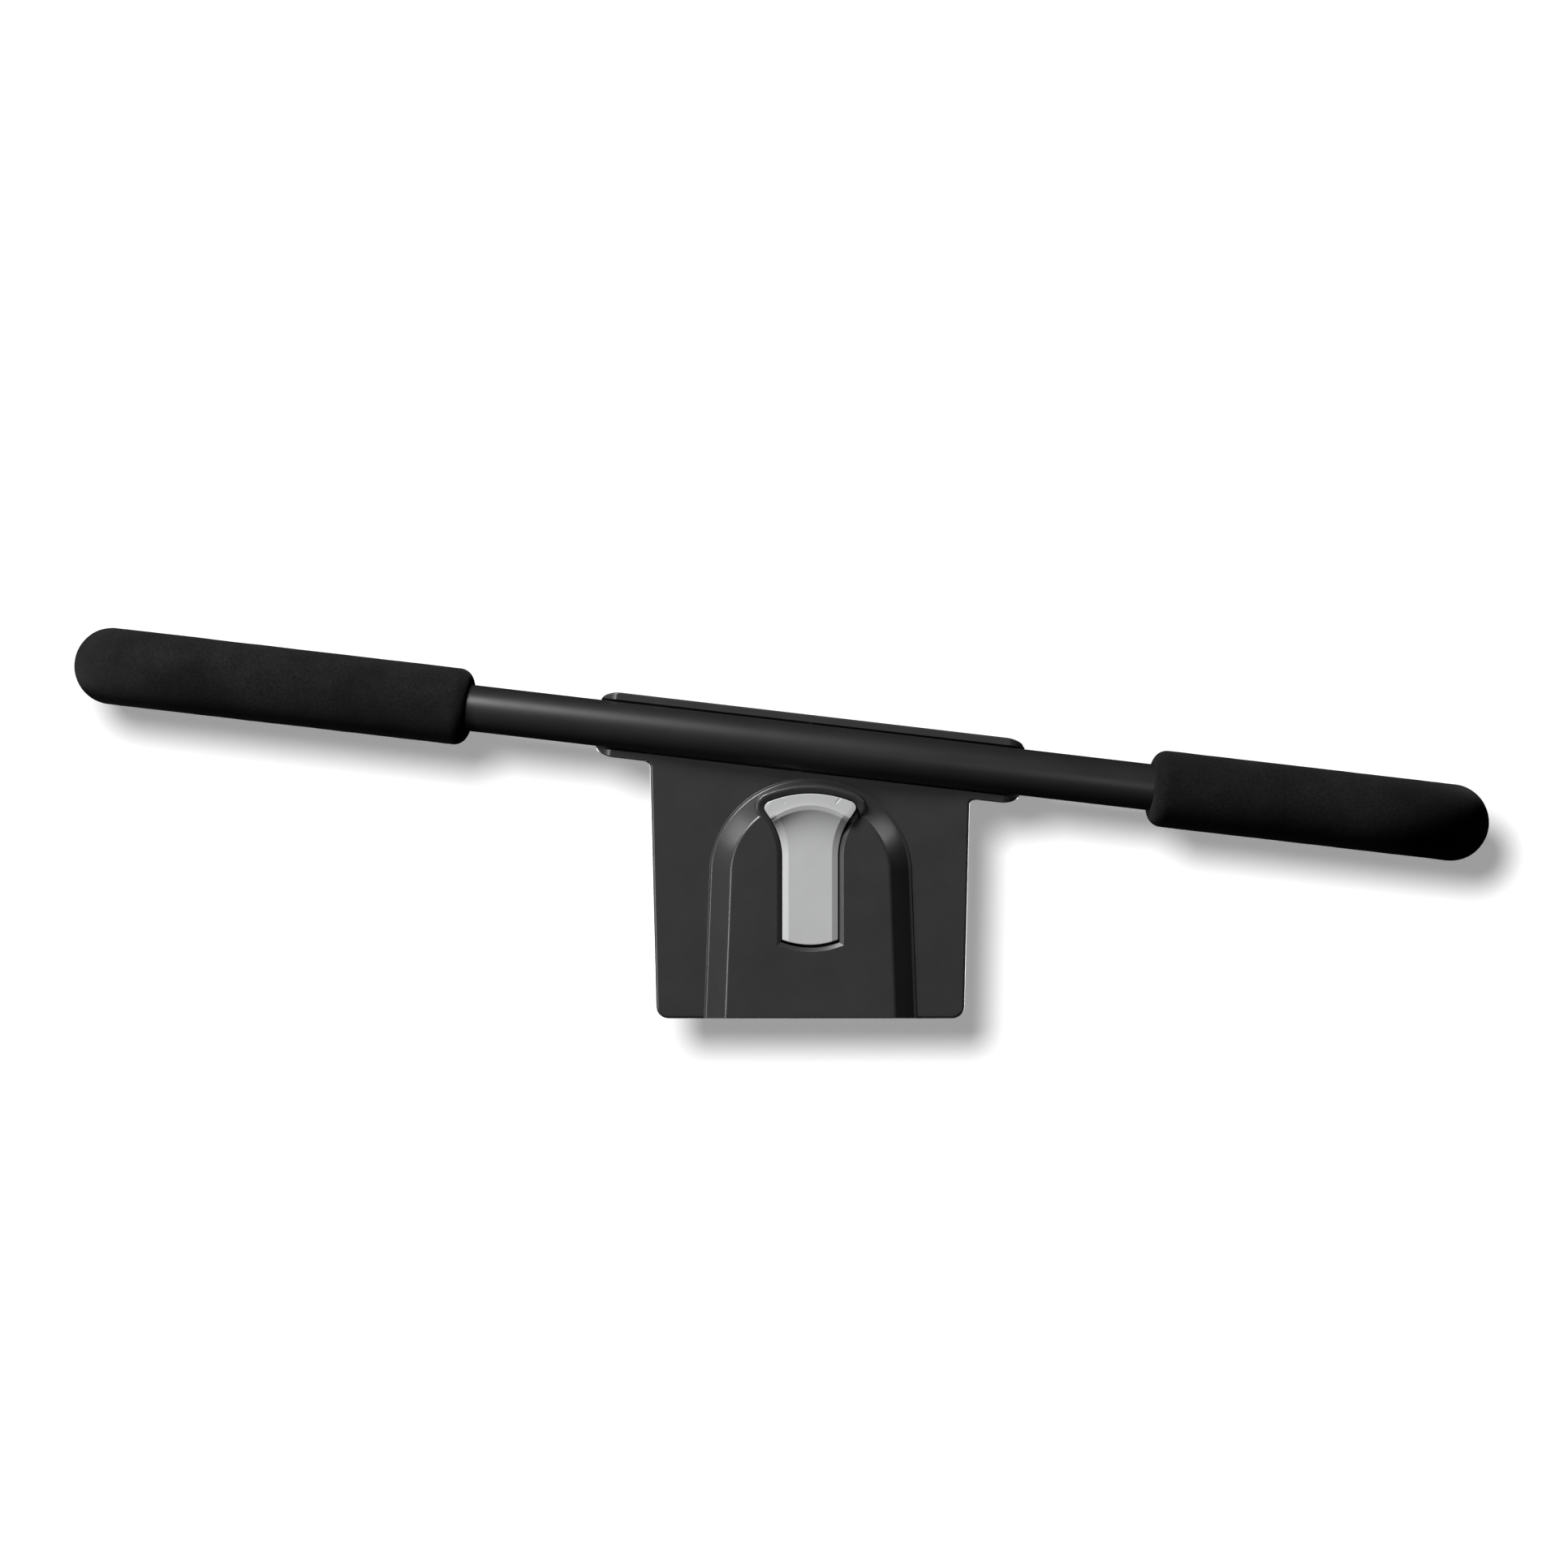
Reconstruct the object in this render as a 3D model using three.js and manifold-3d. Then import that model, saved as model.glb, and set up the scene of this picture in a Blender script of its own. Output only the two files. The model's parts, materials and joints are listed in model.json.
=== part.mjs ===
// Docking pull-up bar: a bowed steel tube with two foam grips, clamped across the front of a
// moulded bracket. The bracket slides down over an arch-topped tongue and a sprung latch bolt,
// worked by the pull lever in its raised boss, locks it there.
//
// Millimetres. +X to the right, +Y from the front of the bracket to its docking face, +Z up.
// The origin is on the docking face, on the axis of the latch bolt.

import * as THREE from 'three';
import { mergeVertices } from 'three/addons/utils/BufferGeometryUtils.js';
import Module from 'manifold-3d';

const wasm = await Module();
wasm.setup();

// ---------------------------------------------------------------- driving dimensions

// Gap kept between pieces that rest on each other, and between a shaft and its hole.
const REST_GAP = 0.3;
const RUNNING_GAP = 0.1;

// Bar tube and its route, seen from above: a bow, a straight, an end curl and a short tail.
const TUBE_RADIUS = 15;
const TUBE_WALL = 2.5;
const BAR_TILT = THREE.MathUtils.degToRad(6.66);
const BAR_HEIGHT = 86;
const BAR_DEPTH = -30;
const BOW_RADIUS = 1150;
const BOW_ANGLE = THREE.MathUtils.degToRad(11);
const CURL_RADIUS = 64;
const CURL_ANGLE = THREE.MathUtils.degToRad(75);
const TAIL_LENGTH = 18;

// Foam grips. The left one is the longer, so the bar reaches further to the left.
const FOAM_RADIUS = 25;
const FOAM_START = 221.2;
const FOAM_INNER_ROUND = 9;
const LEFT_REACH = 479;
const RIGHT_REACH = 441.7;

// Bracket: one moulding with the flange that carries the tube and the plate below it.
const BACK_PLATE_THICKNESS = 4;
const BODY_BACK = -(BACK_PLATE_THICKNESS + REST_GAP);
const BODY_FRONT = -25;
const PLATE_BOTTOM = -89;
const PLATE_HALF_BOTTOM = 99.5;
const PLATE_HALF_AT_BAR = 103.8;
const PLATE_CORNER = 8;
const FLANGE_HALF_LENGTH = 137.7;
const FLANGE_HALF_HEIGHT = 21.1;
const FLANGE_CORNER_ALONG = 12.6;
const FLANGE_CORNER_ACROSS = 6.3;
const FLANGE_END_ROLL = 13;
const INNER_FILLET = 4;
const EDGE_ROUND = 0.9;
const SLOT_RADIUS = 16.1;

// Arch-shaped boss: its top face, the slope round it, and the step at its foot.
const BOSS_FRONT = -39;
const BOSS_HALF_BOTTOM = 55;
const BOSS_HALF_AT_SPRING = 51.5;
const BOSS_SPRING_Z = 4.2;
const BOSS_ARCH_RISE = 48.5;
const BOSS_SLOPE_WIDTH = 12;
const BOSS_SLOPE_HEIGHT = 12.8;
const BOSS_STEP_WIDTH = 1.8;
const BOSS_STEP_HEIGHT = 0.9;

// Release lever, its opening in the boss and the collar round its head.
const LEVER_NECK_HALF = 18.15;
const LEVER_HEAD_HALF = 29.6;
const LEVER_TOP = 56.2;
const LEVER_BOTTOM = -41.6;
const LEVER_FACE = BOSS_FRONT;
const LEVER_THICKNESS = 5;
const LEVER_CHAMFER_WIDTH = 4.1;
const LEVER_CHAMFER_DEPTH = 1.9;
const LEVER_FLARE_START = 12;
const LEVER_FLARE_RISE = 7;
const LEVER_RIDGE_Z = 48.7;
const LEVER_RIDGE_RADIUS = 37.4;
const LEVER_RIDGE_BAND = 2.9;
const LEVER_RIDGE_STEP = 0.9;
const LEVER_HEAD_EDGE = 0.7;
const OPENING_GAP = 0.5;
const OPENING_CHAMFER = 2.6;
const OPENING_EXTRA_BELOW = 1.1;
const COLLAR_WIDTH = 5.8;
const COLLAR_DRAFT = 2.4;
const WELL_WALL = 4;
const WELL_SWING_ROOM = 2.4;
const WELL_FLOOR_FRONT = -20;
const WELL_FLOOR_BACK = -17;

// Latch: the lever turns on the pivot pin and draws the bolt out with the link pin.
const PIVOT_Y = -29;
const PIVOT_Z = -28;
const PIVOT_PIN_RADIUS = 2.25;
const LINK_Y = -30;
const LINK_PIN_RADIUS = 2;
const LINK_SLOT_TRAVEL = 2.8;
const LINK_SLOT_CLEARANCE = 0.6;
const BOLT_RADIUS = 6;
const BOLT_TIP_Y = -7.5;
const EYE_RADIUS = 4.6;
const BOLT_EYE_RADIUS = 3.4;
const RIB_INNER = 7.5;
const RIB_OUTER = 10.5;
const EAR_INNER = 12.2;
const EAR_OUTER = 14.2;

// Socket for the tongue.
const SOCKET_HALF_BOTTOM = 50;
const SOCKET_HALF_AT_SPRING = 47;
const SOCKET_ARCH_RISE = 44;
const BOSS_WALL = 4;

// Facets: sides of a round section.
const SIDES = 24;

// ---------------------------------------------------------------- shape and solid helpers

const BAR_MATRIX = new THREE.Matrix4()
  .makeTranslation(0, BAR_DEPTH, BAR_HEIGHT)
  .multiply(new THREE.Matrix4().makeRotationY(BAR_TILT));

/** A three.js geometry as a manifold-3d solid. */
function solid(geometry) {
  const bare = geometry.clone();
  bare.deleteAttribute('normal');
  bare.deleteAttribute('uv');
  const merged = mergeVertices(bare, 1e-4);
  const index = merged.index.array;
  const triangles = [];
  for (let i = 0; i < index.length; i += 3) {
    const [a, b, c] = [index[i], index[i + 1], index[i + 2]];
    if (a !== b && b !== c && c !== a) {
      triangles.push(a, b, c);
    }
  }
  return new wasm.Manifold(new wasm.Mesh({
    numProp: 3,
    vertProperties: new Float32Array(merged.attributes.position.array),
    triVerts: new Uint32Array(triangles),
  }));
}

/** A manifold-3d solid as a three.js geometry. */
function geometryOf(body) {
  const mesh = body.getMesh();
  const geometry = new THREE.BufferGeometry();
  geometry.setAttribute('position', new THREE.BufferAttribute(new Float32Array(mesh.vertProperties), 3));
  geometry.setIndex(new THREE.BufferAttribute(new Uint32Array(mesh.triVerts), 1));
  geometry.computeVertexNormals();
  return geometry;
}

/** Turns an extrusion drawn in X and Z so that it runs from yBack towards the front. */
function standing(geometry, yBack) {
  return geometry.rotateX(Math.PI / 2).translate(0, yBack, 0);
}

/** A front-view shape extruded between two depths, its outline grown by `grow`. */
function slab(shape, yFront, yBack, grow = 0, curveSegments = 10) {
  const options = { depth: yBack - yFront, bevelEnabled: false, curveSegments };
  if (grow !== 0) {
    Object.assign(options, { bevelEnabled: true, bevelThickness: 0, bevelSize: 0 });
    Object.assign(options, { bevelOffset: grow, bevelSegments: 0 });
  }
  return standing(new THREE.ExtrudeGeometry(shape, options), yBack);
}

/** A front-view shape that grows from `grow` at yFront by `size` over `height`, then runs on to yBack. */
function flaredSlab(shape, yFront, yBack, grow, size, height, curveSegments = 10) {
  const depth = yBack - yFront - 2 * height;
  const options = { depth, bevelEnabled: true, bevelSegments: 1, curveSegments };
  Object.assign(options, { bevelThickness: height, bevelSize: size, bevelOffset: grow });
  return standing(new THREE.ExtrudeGeometry(shape, options), yBack - height);
}

/** A box given by its lowest and highest corners. */
function box(low, high) {
  const size = high.map((v, k) => v - low[k]);
  const middle = high.map((v, k) => (v + low[k]) / 2);
  return new THREE.BoxGeometry(...size).translate(...middle);
}

/** A solid of revolution about the Y direction through (x, z); the profile is [radius, y] pairs. */
function turned(profile, x = 0, z = 0, sides = SIDES) {
  const points = profile.map(([r, y]) => new THREE.Vector2(r, y));
  return new THREE.LatheGeometry(points, sides).translate(x, 0, z);
}

/** A round rod along X. */
function rodAlongX(radius, xLow, xHigh, y, z, sides = 20) {
  return new THREE.CylinderGeometry(radius, radius, xHigh - xLow, sides)
    .rotateZ(Math.PI / 2)
    .translate((xLow + xHigh) / 2, y, z);
}

/** A side-view shape, drawn with x as depth Y and y as height Z, extruded between two X positions. */
function sideSlab(shape, xLow, xHigh, curveSegments = 10) {
  const options = { depth: xHigh - xLow, bevelEnabled: false, curveSegments };
  return new THREE.ExtrudeGeometry(shape, options)
    .rotateX(Math.PI / 2)
    .rotateZ(Math.PI / 2)
    .translate(xLow, 0, 0);
}

/** A closed shape through corners {at, before, after}: each corner is rounded over those lengths. */
function roundedShape(corners) {
  const shape = new THREE.Shape();
  const kappa = 0.5523;
  corners.forEach(({ at, before, after }, i) => {
    const last = corners[(i + corners.length - 1) % corners.length].at;
    const next = corners[(i + 1) % corners.length].at;
    const start = at.clone().add(last.clone().sub(at).setLength(before));
    const end = at.clone().add(next.clone().sub(at).setLength(after));
    const a = start.clone().lerp(at, kappa);
    const b = end.clone().lerp(at, kappa);
    if (i === 0) {
      shape.moveTo(start.x, start.y);
    } else {
      shape.lineTo(start.x, start.y);
    }
    shape.bezierCurveTo(a.x, a.y, b.x, b.y, end.x, end.y);
  });
  shape.closePath();
  return shape;
}

/** A point given along the bar and across it, in the bracket's front view. */
function fromBar(along, across) {
  return new THREE.Vector2(
    along * Math.cos(BAR_TILT) + across * Math.sin(BAR_TILT),
    BAR_HEIGHT - along * Math.sin(BAR_TILT) + across * Math.cos(BAR_TILT),
  );
}

/** How far behind its middle the bowed tube lies, at a distance along the bar. */
function bowDepth(along) {
  return BOW_RADIUS - Math.sqrt(BOW_RADIUS ** 2 - along ** 2);
}

// ---------------------------------------------------------------- the bar's route

const BOW_END = BOW_RADIUS * Math.sin(BOW_ANGLE);
const CURL_RUN = CURL_RADIUS * (Math.sin(CURL_ANGLE) - Math.sin(BOW_ANGLE));
const TAIL_RUN = TAIL_LENGTH * Math.cos(CURL_ANGLE);

/**
 * Half of the bar's centreline, in the bar's own frame: X along the bar, Y away from the front.
 * It is a chain of stretches, each with its own number of steps, so that straights need few facets.
 */
class HalfRoute extends THREE.Curve {
  constructor(side, reach, stretches) {
    super();
    this.side = side;
    this.curlStart = reach - FOAM_RADIUS - TAIL_RUN - CURL_RUN;
    this.stretches = stretches;
    this.steps = stretches.reduce((sum, s) => sum + s.steps, 0);
  }

  /** The stretch at step number n, and how far along it that is, from 0 to 1. */
  place(n) {
    let first = 0;
    for (const stretch of this.stretches) {
      if (n <= first + stretch.steps + 1e-9) {
        return { kind: stretch.kind, share: (n - first) / stretch.steps };
      }
      first += stretch.steps;
    }
    return { kind: this.stretches.at(-1).kind, share: 1 };
  }

  /** Distance along the bar, depth and direction angle, on the positive side. */
  station(t) {
    const { kind, share } = this.place(t * this.steps);
    const bowDepthAtEnd = bowDepth(BOW_END);
    const straight = this.curlStart - BOW_END;
    const curlDepth = bowDepthAtEnd + straight * Math.tan(BOW_ANGLE);
    if (kind === 'bow') {
      const angle = BOW_ANGLE * share;
      return { x: BOW_RADIUS * Math.sin(angle), y: BOW_RADIUS * (1 - Math.cos(angle)), angle };
    }
    if (kind === 'straight') {
      const x = BOW_END + straight * share;
      return { x, y: bowDepthAtEnd + (x - BOW_END) * Math.tan(BOW_ANGLE), angle: BOW_ANGLE };
    }
    if (kind === 'grip') {
      const x = FOAM_START + (this.curlStart - FOAM_START) * share;
      return { x, y: bowDepthAtEnd + (x - BOW_END) * Math.tan(BOW_ANGLE), angle: BOW_ANGLE };
    }
    if (kind === 'curl') {
      const angle = BOW_ANGLE + (CURL_ANGLE - BOW_ANGLE) * share;
      const x = this.curlStart + CURL_RADIUS * (Math.sin(angle) - Math.sin(BOW_ANGLE));
      return { x, y: curlDepth + CURL_RADIUS * (Math.cos(BOW_ANGLE) - Math.cos(angle)), angle };
    }
    const curlEndDepth = curlDepth + CURL_RADIUS * (Math.cos(BOW_ANGLE) - Math.cos(CURL_ANGLE));
    const run = TAIL_LENGTH * share;
    return {
      x: this.curlStart + CURL_RUN + run * Math.cos(CURL_ANGLE),
      y: curlEndDepth + run * Math.sin(CURL_ANGLE),
      angle: CURL_ANGLE,
    };
  }

  getPoint(t, target = new THREE.Vector3()) {
    const { x, y } = this.station(t);
    return target.set(this.side * x, y, 0);
  }

  getTangent(t, target = new THREE.Vector3()) {
    const { angle } = this.station(t);
    return target.set(this.side * Math.cos(angle), Math.sin(angle), 0);
  }

  /** Steps stay where the stretches put them instead of being spread evenly by length. */
  getUtoTmapping(u) {
    return u;
  }
}

/** Both halves end to end, from the left tip to the right tip. */
class WholeRoute extends THREE.Curve {
  constructor(left, right) {
    super();
    this.left = left;
    this.right = right;
    this.steps = left.steps + right.steps;
  }

  half(t) {
    const n = t * this.steps;
    return n < this.left.steps
      ? { route: this.left, at: 1 - n / this.left.steps, way: -1 }
      : { route: this.right, at: (n - this.left.steps) / this.right.steps, way: 1 };
  }

  getPoint(t, target = new THREE.Vector3()) {
    const { route, at } = this.half(t);
    return route.getPoint(at, target);
  }

  getTangent(t, target = new THREE.Vector3()) {
    const { route, at, way } = this.half(t);
    return route.getTangent(at, target).multiplyScalar(way);
  }

  getUtoTmapping(u) {
    return u;
  }
}

const TUBE_STRETCHES = [
  { kind: 'bow', steps: 7 },
  { kind: 'straight', steps: 1 },
  { kind: 'curl', steps: 7 },
  { kind: 'tail', steps: 1 },
];
const GRIP_STRETCHES = [
  { kind: 'grip', steps: 1 },
  { kind: 'curl', steps: 7 },
  { kind: 'tail', steps: 1 },
];

/** A round section swept along a route, with an optional bore. */
function swept(route, radius, boreRadius = 0, sides = SIDES) {
  const section = new THREE.Shape().absarc(0, 0, radius, 0, 2 * Math.PI, false);
  if (boreRadius > 0) {
    section.holes.push(new THREE.Path().absarc(0, 0, boreRadius, 0, 2 * Math.PI, true));
  }
  const options = { steps: route.steps, extrudePath: route, bevelEnabled: false, curveSegments: sides };
  return new THREE.ExtrudeGeometry(section, options);
}

/** The frame at the end of a half route: Y runs out of the bar's end. */
function endMatrix(route, at) {
  const tangent = route.getTangent(at);
  const turn = new THREE.Quaternion().setFromUnitVectors(new THREE.Vector3(0, 1, 0), tangent);
  return new THREE.Matrix4().compose(route.getPoint(at), turn, new THREE.Vector3(1, 1, 1));
}

// ---------------------------------------------------------------- outlines of the bracket

/** Half width of the plate at a height. */
function plateHalf(z) {
  const share = (z - PLATE_BOTTOM) / (BAR_HEIGHT - PLATE_BOTTOM);
  return PLATE_HALF_BOTTOM + (PLATE_HALF_AT_BAR - PLATE_HALF_BOTTOM) * share;
}

/** Where the plate's side meets the lower edge of the flange. */
function flangeMeeting(side) {
  const edge = fromBar(0, -FLANGE_HALF_HEIGHT);
  let z = edge.y;
  for (let i = 0; i < 8; i += 1) {
    z = edge.y - (side * plateHalf(z) - edge.x) * Math.tan(BAR_TILT);
  }
  return new THREE.Vector2(side * plateHalf(z), z);
}

/** Front outline of the bracket, plate and flange together, pulled in by `inset`. */
function bracketOutline(inset = 0) {
  const long = FLANGE_HALF_LENGTH - inset;
  const high = FLANGE_HALF_HEIGHT - inset;
  const flangeCorner = (side, up) => ({
    at: fromBar(side * long, up * high),
    before: side === up ? FLANGE_CORNER_ACROSS : FLANGE_CORNER_ALONG,
    after: side === up ? FLANGE_CORNER_ALONG : FLANGE_CORNER_ACROSS,
  });
  const plateCorner = (side) => ({
    at: new THREE.Vector2(side * (PLATE_HALF_BOTTOM - inset), PLATE_BOTTOM + inset),
    before: PLATE_CORNER,
    after: PLATE_CORNER,
  });
  const fillet = (side) => {
    const at = flangeMeeting(side).add(new THREE.Vector2(-side * inset, inset));
    return { at, before: INNER_FILLET, after: INNER_FILLET };
  };
  return roundedShape([
    plateCorner(-1), plateCorner(1), fillet(1), flangeCorner(1, -1),
    flangeCorner(1, 1), flangeCorner(-1, 1), flangeCorner(-1, -1), fillet(-1),
  ]);
}

/** An arch: straight, slightly spread sides below the spring line and a half ellipse above it. */
function archShape(halfBottom, halfSpring, rise) {
  const below = 50;
  const spread = (halfBottom - halfSpring) / (BOSS_SPRING_Z - PLATE_BOTTOM);
  const zLow = PLATE_BOTTOM - below;
  const halfLow = halfBottom + spread * below;
  const shape = new THREE.Shape();
  shape.moveTo(-halfLow, zLow);
  shape.lineTo(halfLow, zLow);
  shape.lineTo(halfSpring, BOSS_SPRING_Z);
  shape.absellipse(0, BOSS_SPRING_Z, halfSpring, rise, 0, Math.PI, false, 0);
  shape.closePath();
  return shape;
}

/** Front outline of the lever: straight neck, flanks that spread, and a crowned head. */
function leverShape(extraBelow = 0) {
  const neckTop = 15;
  const bottomCorner = LEVER_BOTTOM + 3.3;
  const flank = { x: 25.2, z: 39.4 };
  const headLow = { x: 29, z: 45 };
  const headHigh = { x: 27.4, z: 50.8 };
  const crown = (headHigh.x ** 2 + (LEVER_TOP - headHigh.z) ** 2) / (2 * (LEVER_TOP - headHigh.z));
  const crownAngle = Math.asin(headHigh.x / crown);
  const shape = new THREE.Shape();
  const half = LEVER_NECK_HALF;
  shape.moveTo(-half, bottomCorner - extraBelow);
  shape.quadraticCurveTo(0, 2 * LEVER_BOTTOM - bottomCorner - extraBelow, half, bottomCorner - extraBelow);
  shape.lineTo(half, neckTop);
  shape.bezierCurveTo(half, neckTop + 10, 21.4, 33.2, flank.x, flank.z);
  shape.lineTo(headLow.x, headLow.z);
  shape.quadraticCurveTo(LEVER_HEAD_HALF + 1.4, 48.2, headHigh.x, headHigh.z);
  shape.absarc(0, LEVER_TOP - crown, crown, Math.PI / 2 - crownAngle, Math.PI / 2 + crownAngle, false);
  shape.quadraticCurveTo(-LEVER_HEAD_HALF - 1.4, 48.2, -headLow.x, headLow.z);
  shape.lineTo(-flank.x, flank.z);
  shape.bezierCurveTo(-21.4, 33.2, -half, neckTop + 10, -half, neckTop);
  shape.closePath();
  return shape;
}

// ---------------------------------------------------------------- fasteners

const TUBE_BOLT_PLACES = [-100, 0, 100];
const PLATE_SCREW_PLACES = [
  [-85, -82], [85, -82], [-61.5, -40], [61.5, -40], [-61.5, 10], [61.5, 10], [-82, 66], [82, 47],
];

/** Profile of a countersunk screw, its head flush with the docking face, grown by `gap`. */
function screwProfile(headRadius, radius, length, gap = 0) {
  const headDepth = headRadius - radius;
  const top = gap > 0 ? 1 : -0.2;
  const rim = -0.2 - gap / 2;
  return [
    [0, -length - gap], [radius + gap, -length - gap], [radius + gap, rim - headDepth - 0.4],
    [headRadius + gap, rim - 0.4], [headRadius + gap, top], [0, top],
  ];
}

function plateScrewProfile(gap = 0) {
  return screwProfile(4, 2, 14, gap);
}

function tubeBoltProfile(along, gap = 0) {
  const depth = bowDepth(along);
  return screwProfile(7.6, 4, 26 - depth, gap);
}

/** Threaded insert: a flange behind the tube and a sleeve through its back wall. */
function insertProfile(along) {
  const back = BAR_DEPTH + TUBE_RADIUS + bowDepth(along);
  const sleeve = 5.5;
  const bore = 4 + REST_GAP;
  return [
    [bore, back - 10], [sleeve, back - 10], [sleeve, back + 0.9], [7.5, back + 0.9],
    [7.5, back + 1.8], [bore, back + 1.8], [bore, back - 10],
  ];
}

// ---------------------------------------------------------------- pieces of the bracket

/** The U-shaped slot that the bowed tube lies in, open to the front. */
function slotCutter() {
  const section = new THREE.Shape();
  section.moveTo(-SLOT_RADIUS, -60);
  section.lineTo(-SLOT_RADIUS, 0);
  section.absarc(0, 0, SLOT_RADIUS, Math.PI, 0, true);
  section.lineTo(SLOT_RADIUS, -60);
  section.closePath();
  const half = FLANGE_HALF_LENGTH + 8;
  const route = new THREE.QuadraticBezierCurve3(
    new THREE.Vector3(-half, bowDepth(half), 0),
    new THREE.Vector3(0, -bowDepth(half), 0),
    new THREE.Vector3(half, bowDepth(half), 0),
  );
  const options = { steps: 10, extrudePath: route, bevelEnabled: false, curveSegments: 16 };
  return new THREE.ExtrudeGeometry(section, options).applyMatrix4(BAR_MATRIX);
}

/** Plan outline that rolls the front of the flange back at both ends. */
function endRollKeeper() {
  const long = FLANGE_HALF_LENGTH + 1;
  const corner = (x, y, size) => ({ at: new THREE.Vector2(x, y), before: size, after: size });
  const plan = roundedShape([
    corner(-long, BODY_FRONT - EDGE_ROUND, FLANGE_END_ROLL),
    corner(long, BODY_FRONT - EDGE_ROUND, FLANGE_END_ROLL),
    corner(long, 10, 1), corner(-long, 10, 1),
  ]);
  const reach = 260;
  const options = { depth: 2 * reach, bevelEnabled: false, curveSegments: 8 };
  const keeper = new THREE.ExtrudeGeometry(plan, options).translate(0, 0, -reach);
  const turn = new THREE.Matrix4().makeTranslation(0, 0, BAR_HEIGHT)
    .multiply(new THREE.Matrix4().makeRotationY(BAR_TILT));
  return keeper.applyMatrix4(turn);
}

/** The boss: sloped arch, the step at its foot and the collar that carries the lever's head. */
function bossSolid() {
  const arch = archShape(BOSS_HALF_BOTTOM, BOSS_HALF_AT_SPRING, BOSS_ARCH_RISE);
  const deep = BODY_FRONT + 8;
  const slopeDepth = deep + BOSS_SLOPE_HEIGHT;
  const slope = flaredSlab(arch, BOSS_FRONT, slopeDepth, 0, BOSS_SLOPE_WIDTH, BOSS_SLOPE_HEIGHT, 24);
  const stepEdge = 0.6;
  const stepGrow = BOSS_SLOPE_WIDTH + BOSS_STEP_WIDTH - stepEdge;
  const step = flaredSlab(arch, BODY_FRONT - BOSS_STEP_HEIGHT, deep, stepGrow, stepEdge, stepEdge, 24);
  const collarHeight = BODY_FRONT - BOSS_FRONT;
  const collar = flaredSlab(
    leverShape(), BOSS_FRONT, BODY_FRONT + collarHeight, COLLAR_WIDTH, COLLAR_DRAFT, collarHeight, 8,
  );
  const foot = slab(arch, BOSS_FRONT - 1, deep, BOSS_SLOPE_WIDTH, 24);
  const belowPlate = box([-200, -80, PLATE_BOTTOM - 120], [200, 40, PLATE_BOTTOM]);
  const behind = box([-200, deep, -200], [200, 60, 200]);
  return solid(collar).intersect(solid(foot)).add(solid(slope)).add(solid(step))
    .subtract(solid(belowPlate)).subtract(solid(behind));
}

/** The lever's opening: a chamfer at the face and a well with room for the lever's foot to swing. */
function leverOpening() {
  const outline = leverShape(OPENING_EXTRA_BELOW);
  const chamfer = flaredSlab(
    outline, BOSS_FRONT - 30, BOSS_FRONT + OPENING_CHAMFER, OPENING_GAP, OPENING_CHAMFER, OPENING_CHAMFER, 8,
  );
  const mouth = slab(outline, BOSS_FRONT - 5, WELL_FLOOR_FRONT, OPENING_GAP, 8);
  const wellShape = leverShape(OPENING_EXTRA_BELOW + WELL_SWING_ROOM);
  const well = slab(wellShape, BOSS_FRONT + OPENING_CHAMFER, WELL_FLOOR_FRONT, OPENING_GAP, 8);
  return solid(chamfer).add(solid(mouth)).add(solid(well));
}

/** The socket for the tongue, open at the bottom and closed behind by the back plate. */
function socketHollow() {
  const arch = archShape(SOCKET_HALF_BOTTOM, SOCKET_HALF_AT_SPRING, SOCKET_ARCH_RISE);
  const hollow = slab(arch, BOSS_FRONT + BOSS_WALL, 5, 0, 14);
  const wellShape = leverShape(OPENING_EXTRA_BELOW + WELL_SWING_ROOM);
  const well = slab(wellShape, BOSS_FRONT - 1, WELL_FLOOR_BACK, WELL_WALL, 8);
  return solid(hollow).subtract(solid(well));
}

/** Cells that lighten the two wings of the plate, with ribs left between them. */
function wingCells() {
  const cells = [];
  const rib = 3;
  const low = PLATE_BOTTOM + 14;
  for (const side of [-1, 1]) {
    const top = flangeMeeting(side).y - 18;
    const count = 3;
    const pitch = (top - low + rib) / count;
    for (let i = 0; i < count; i += 1) {
      const z = low + i * pitch;
      const outline = roundedShape([
        [72, z], [90, z], [90, z + pitch - rib], [72, z + pitch - rib],
      ].map(([x, y]) => ({ at: new THREE.Vector2(side * x, y), before: 3, after: 3 })));
      cells.push(slab(outline, BODY_FRONT + BOSS_WALL, 5, 0, 3));
    }
  }
  return cells;
}

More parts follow.
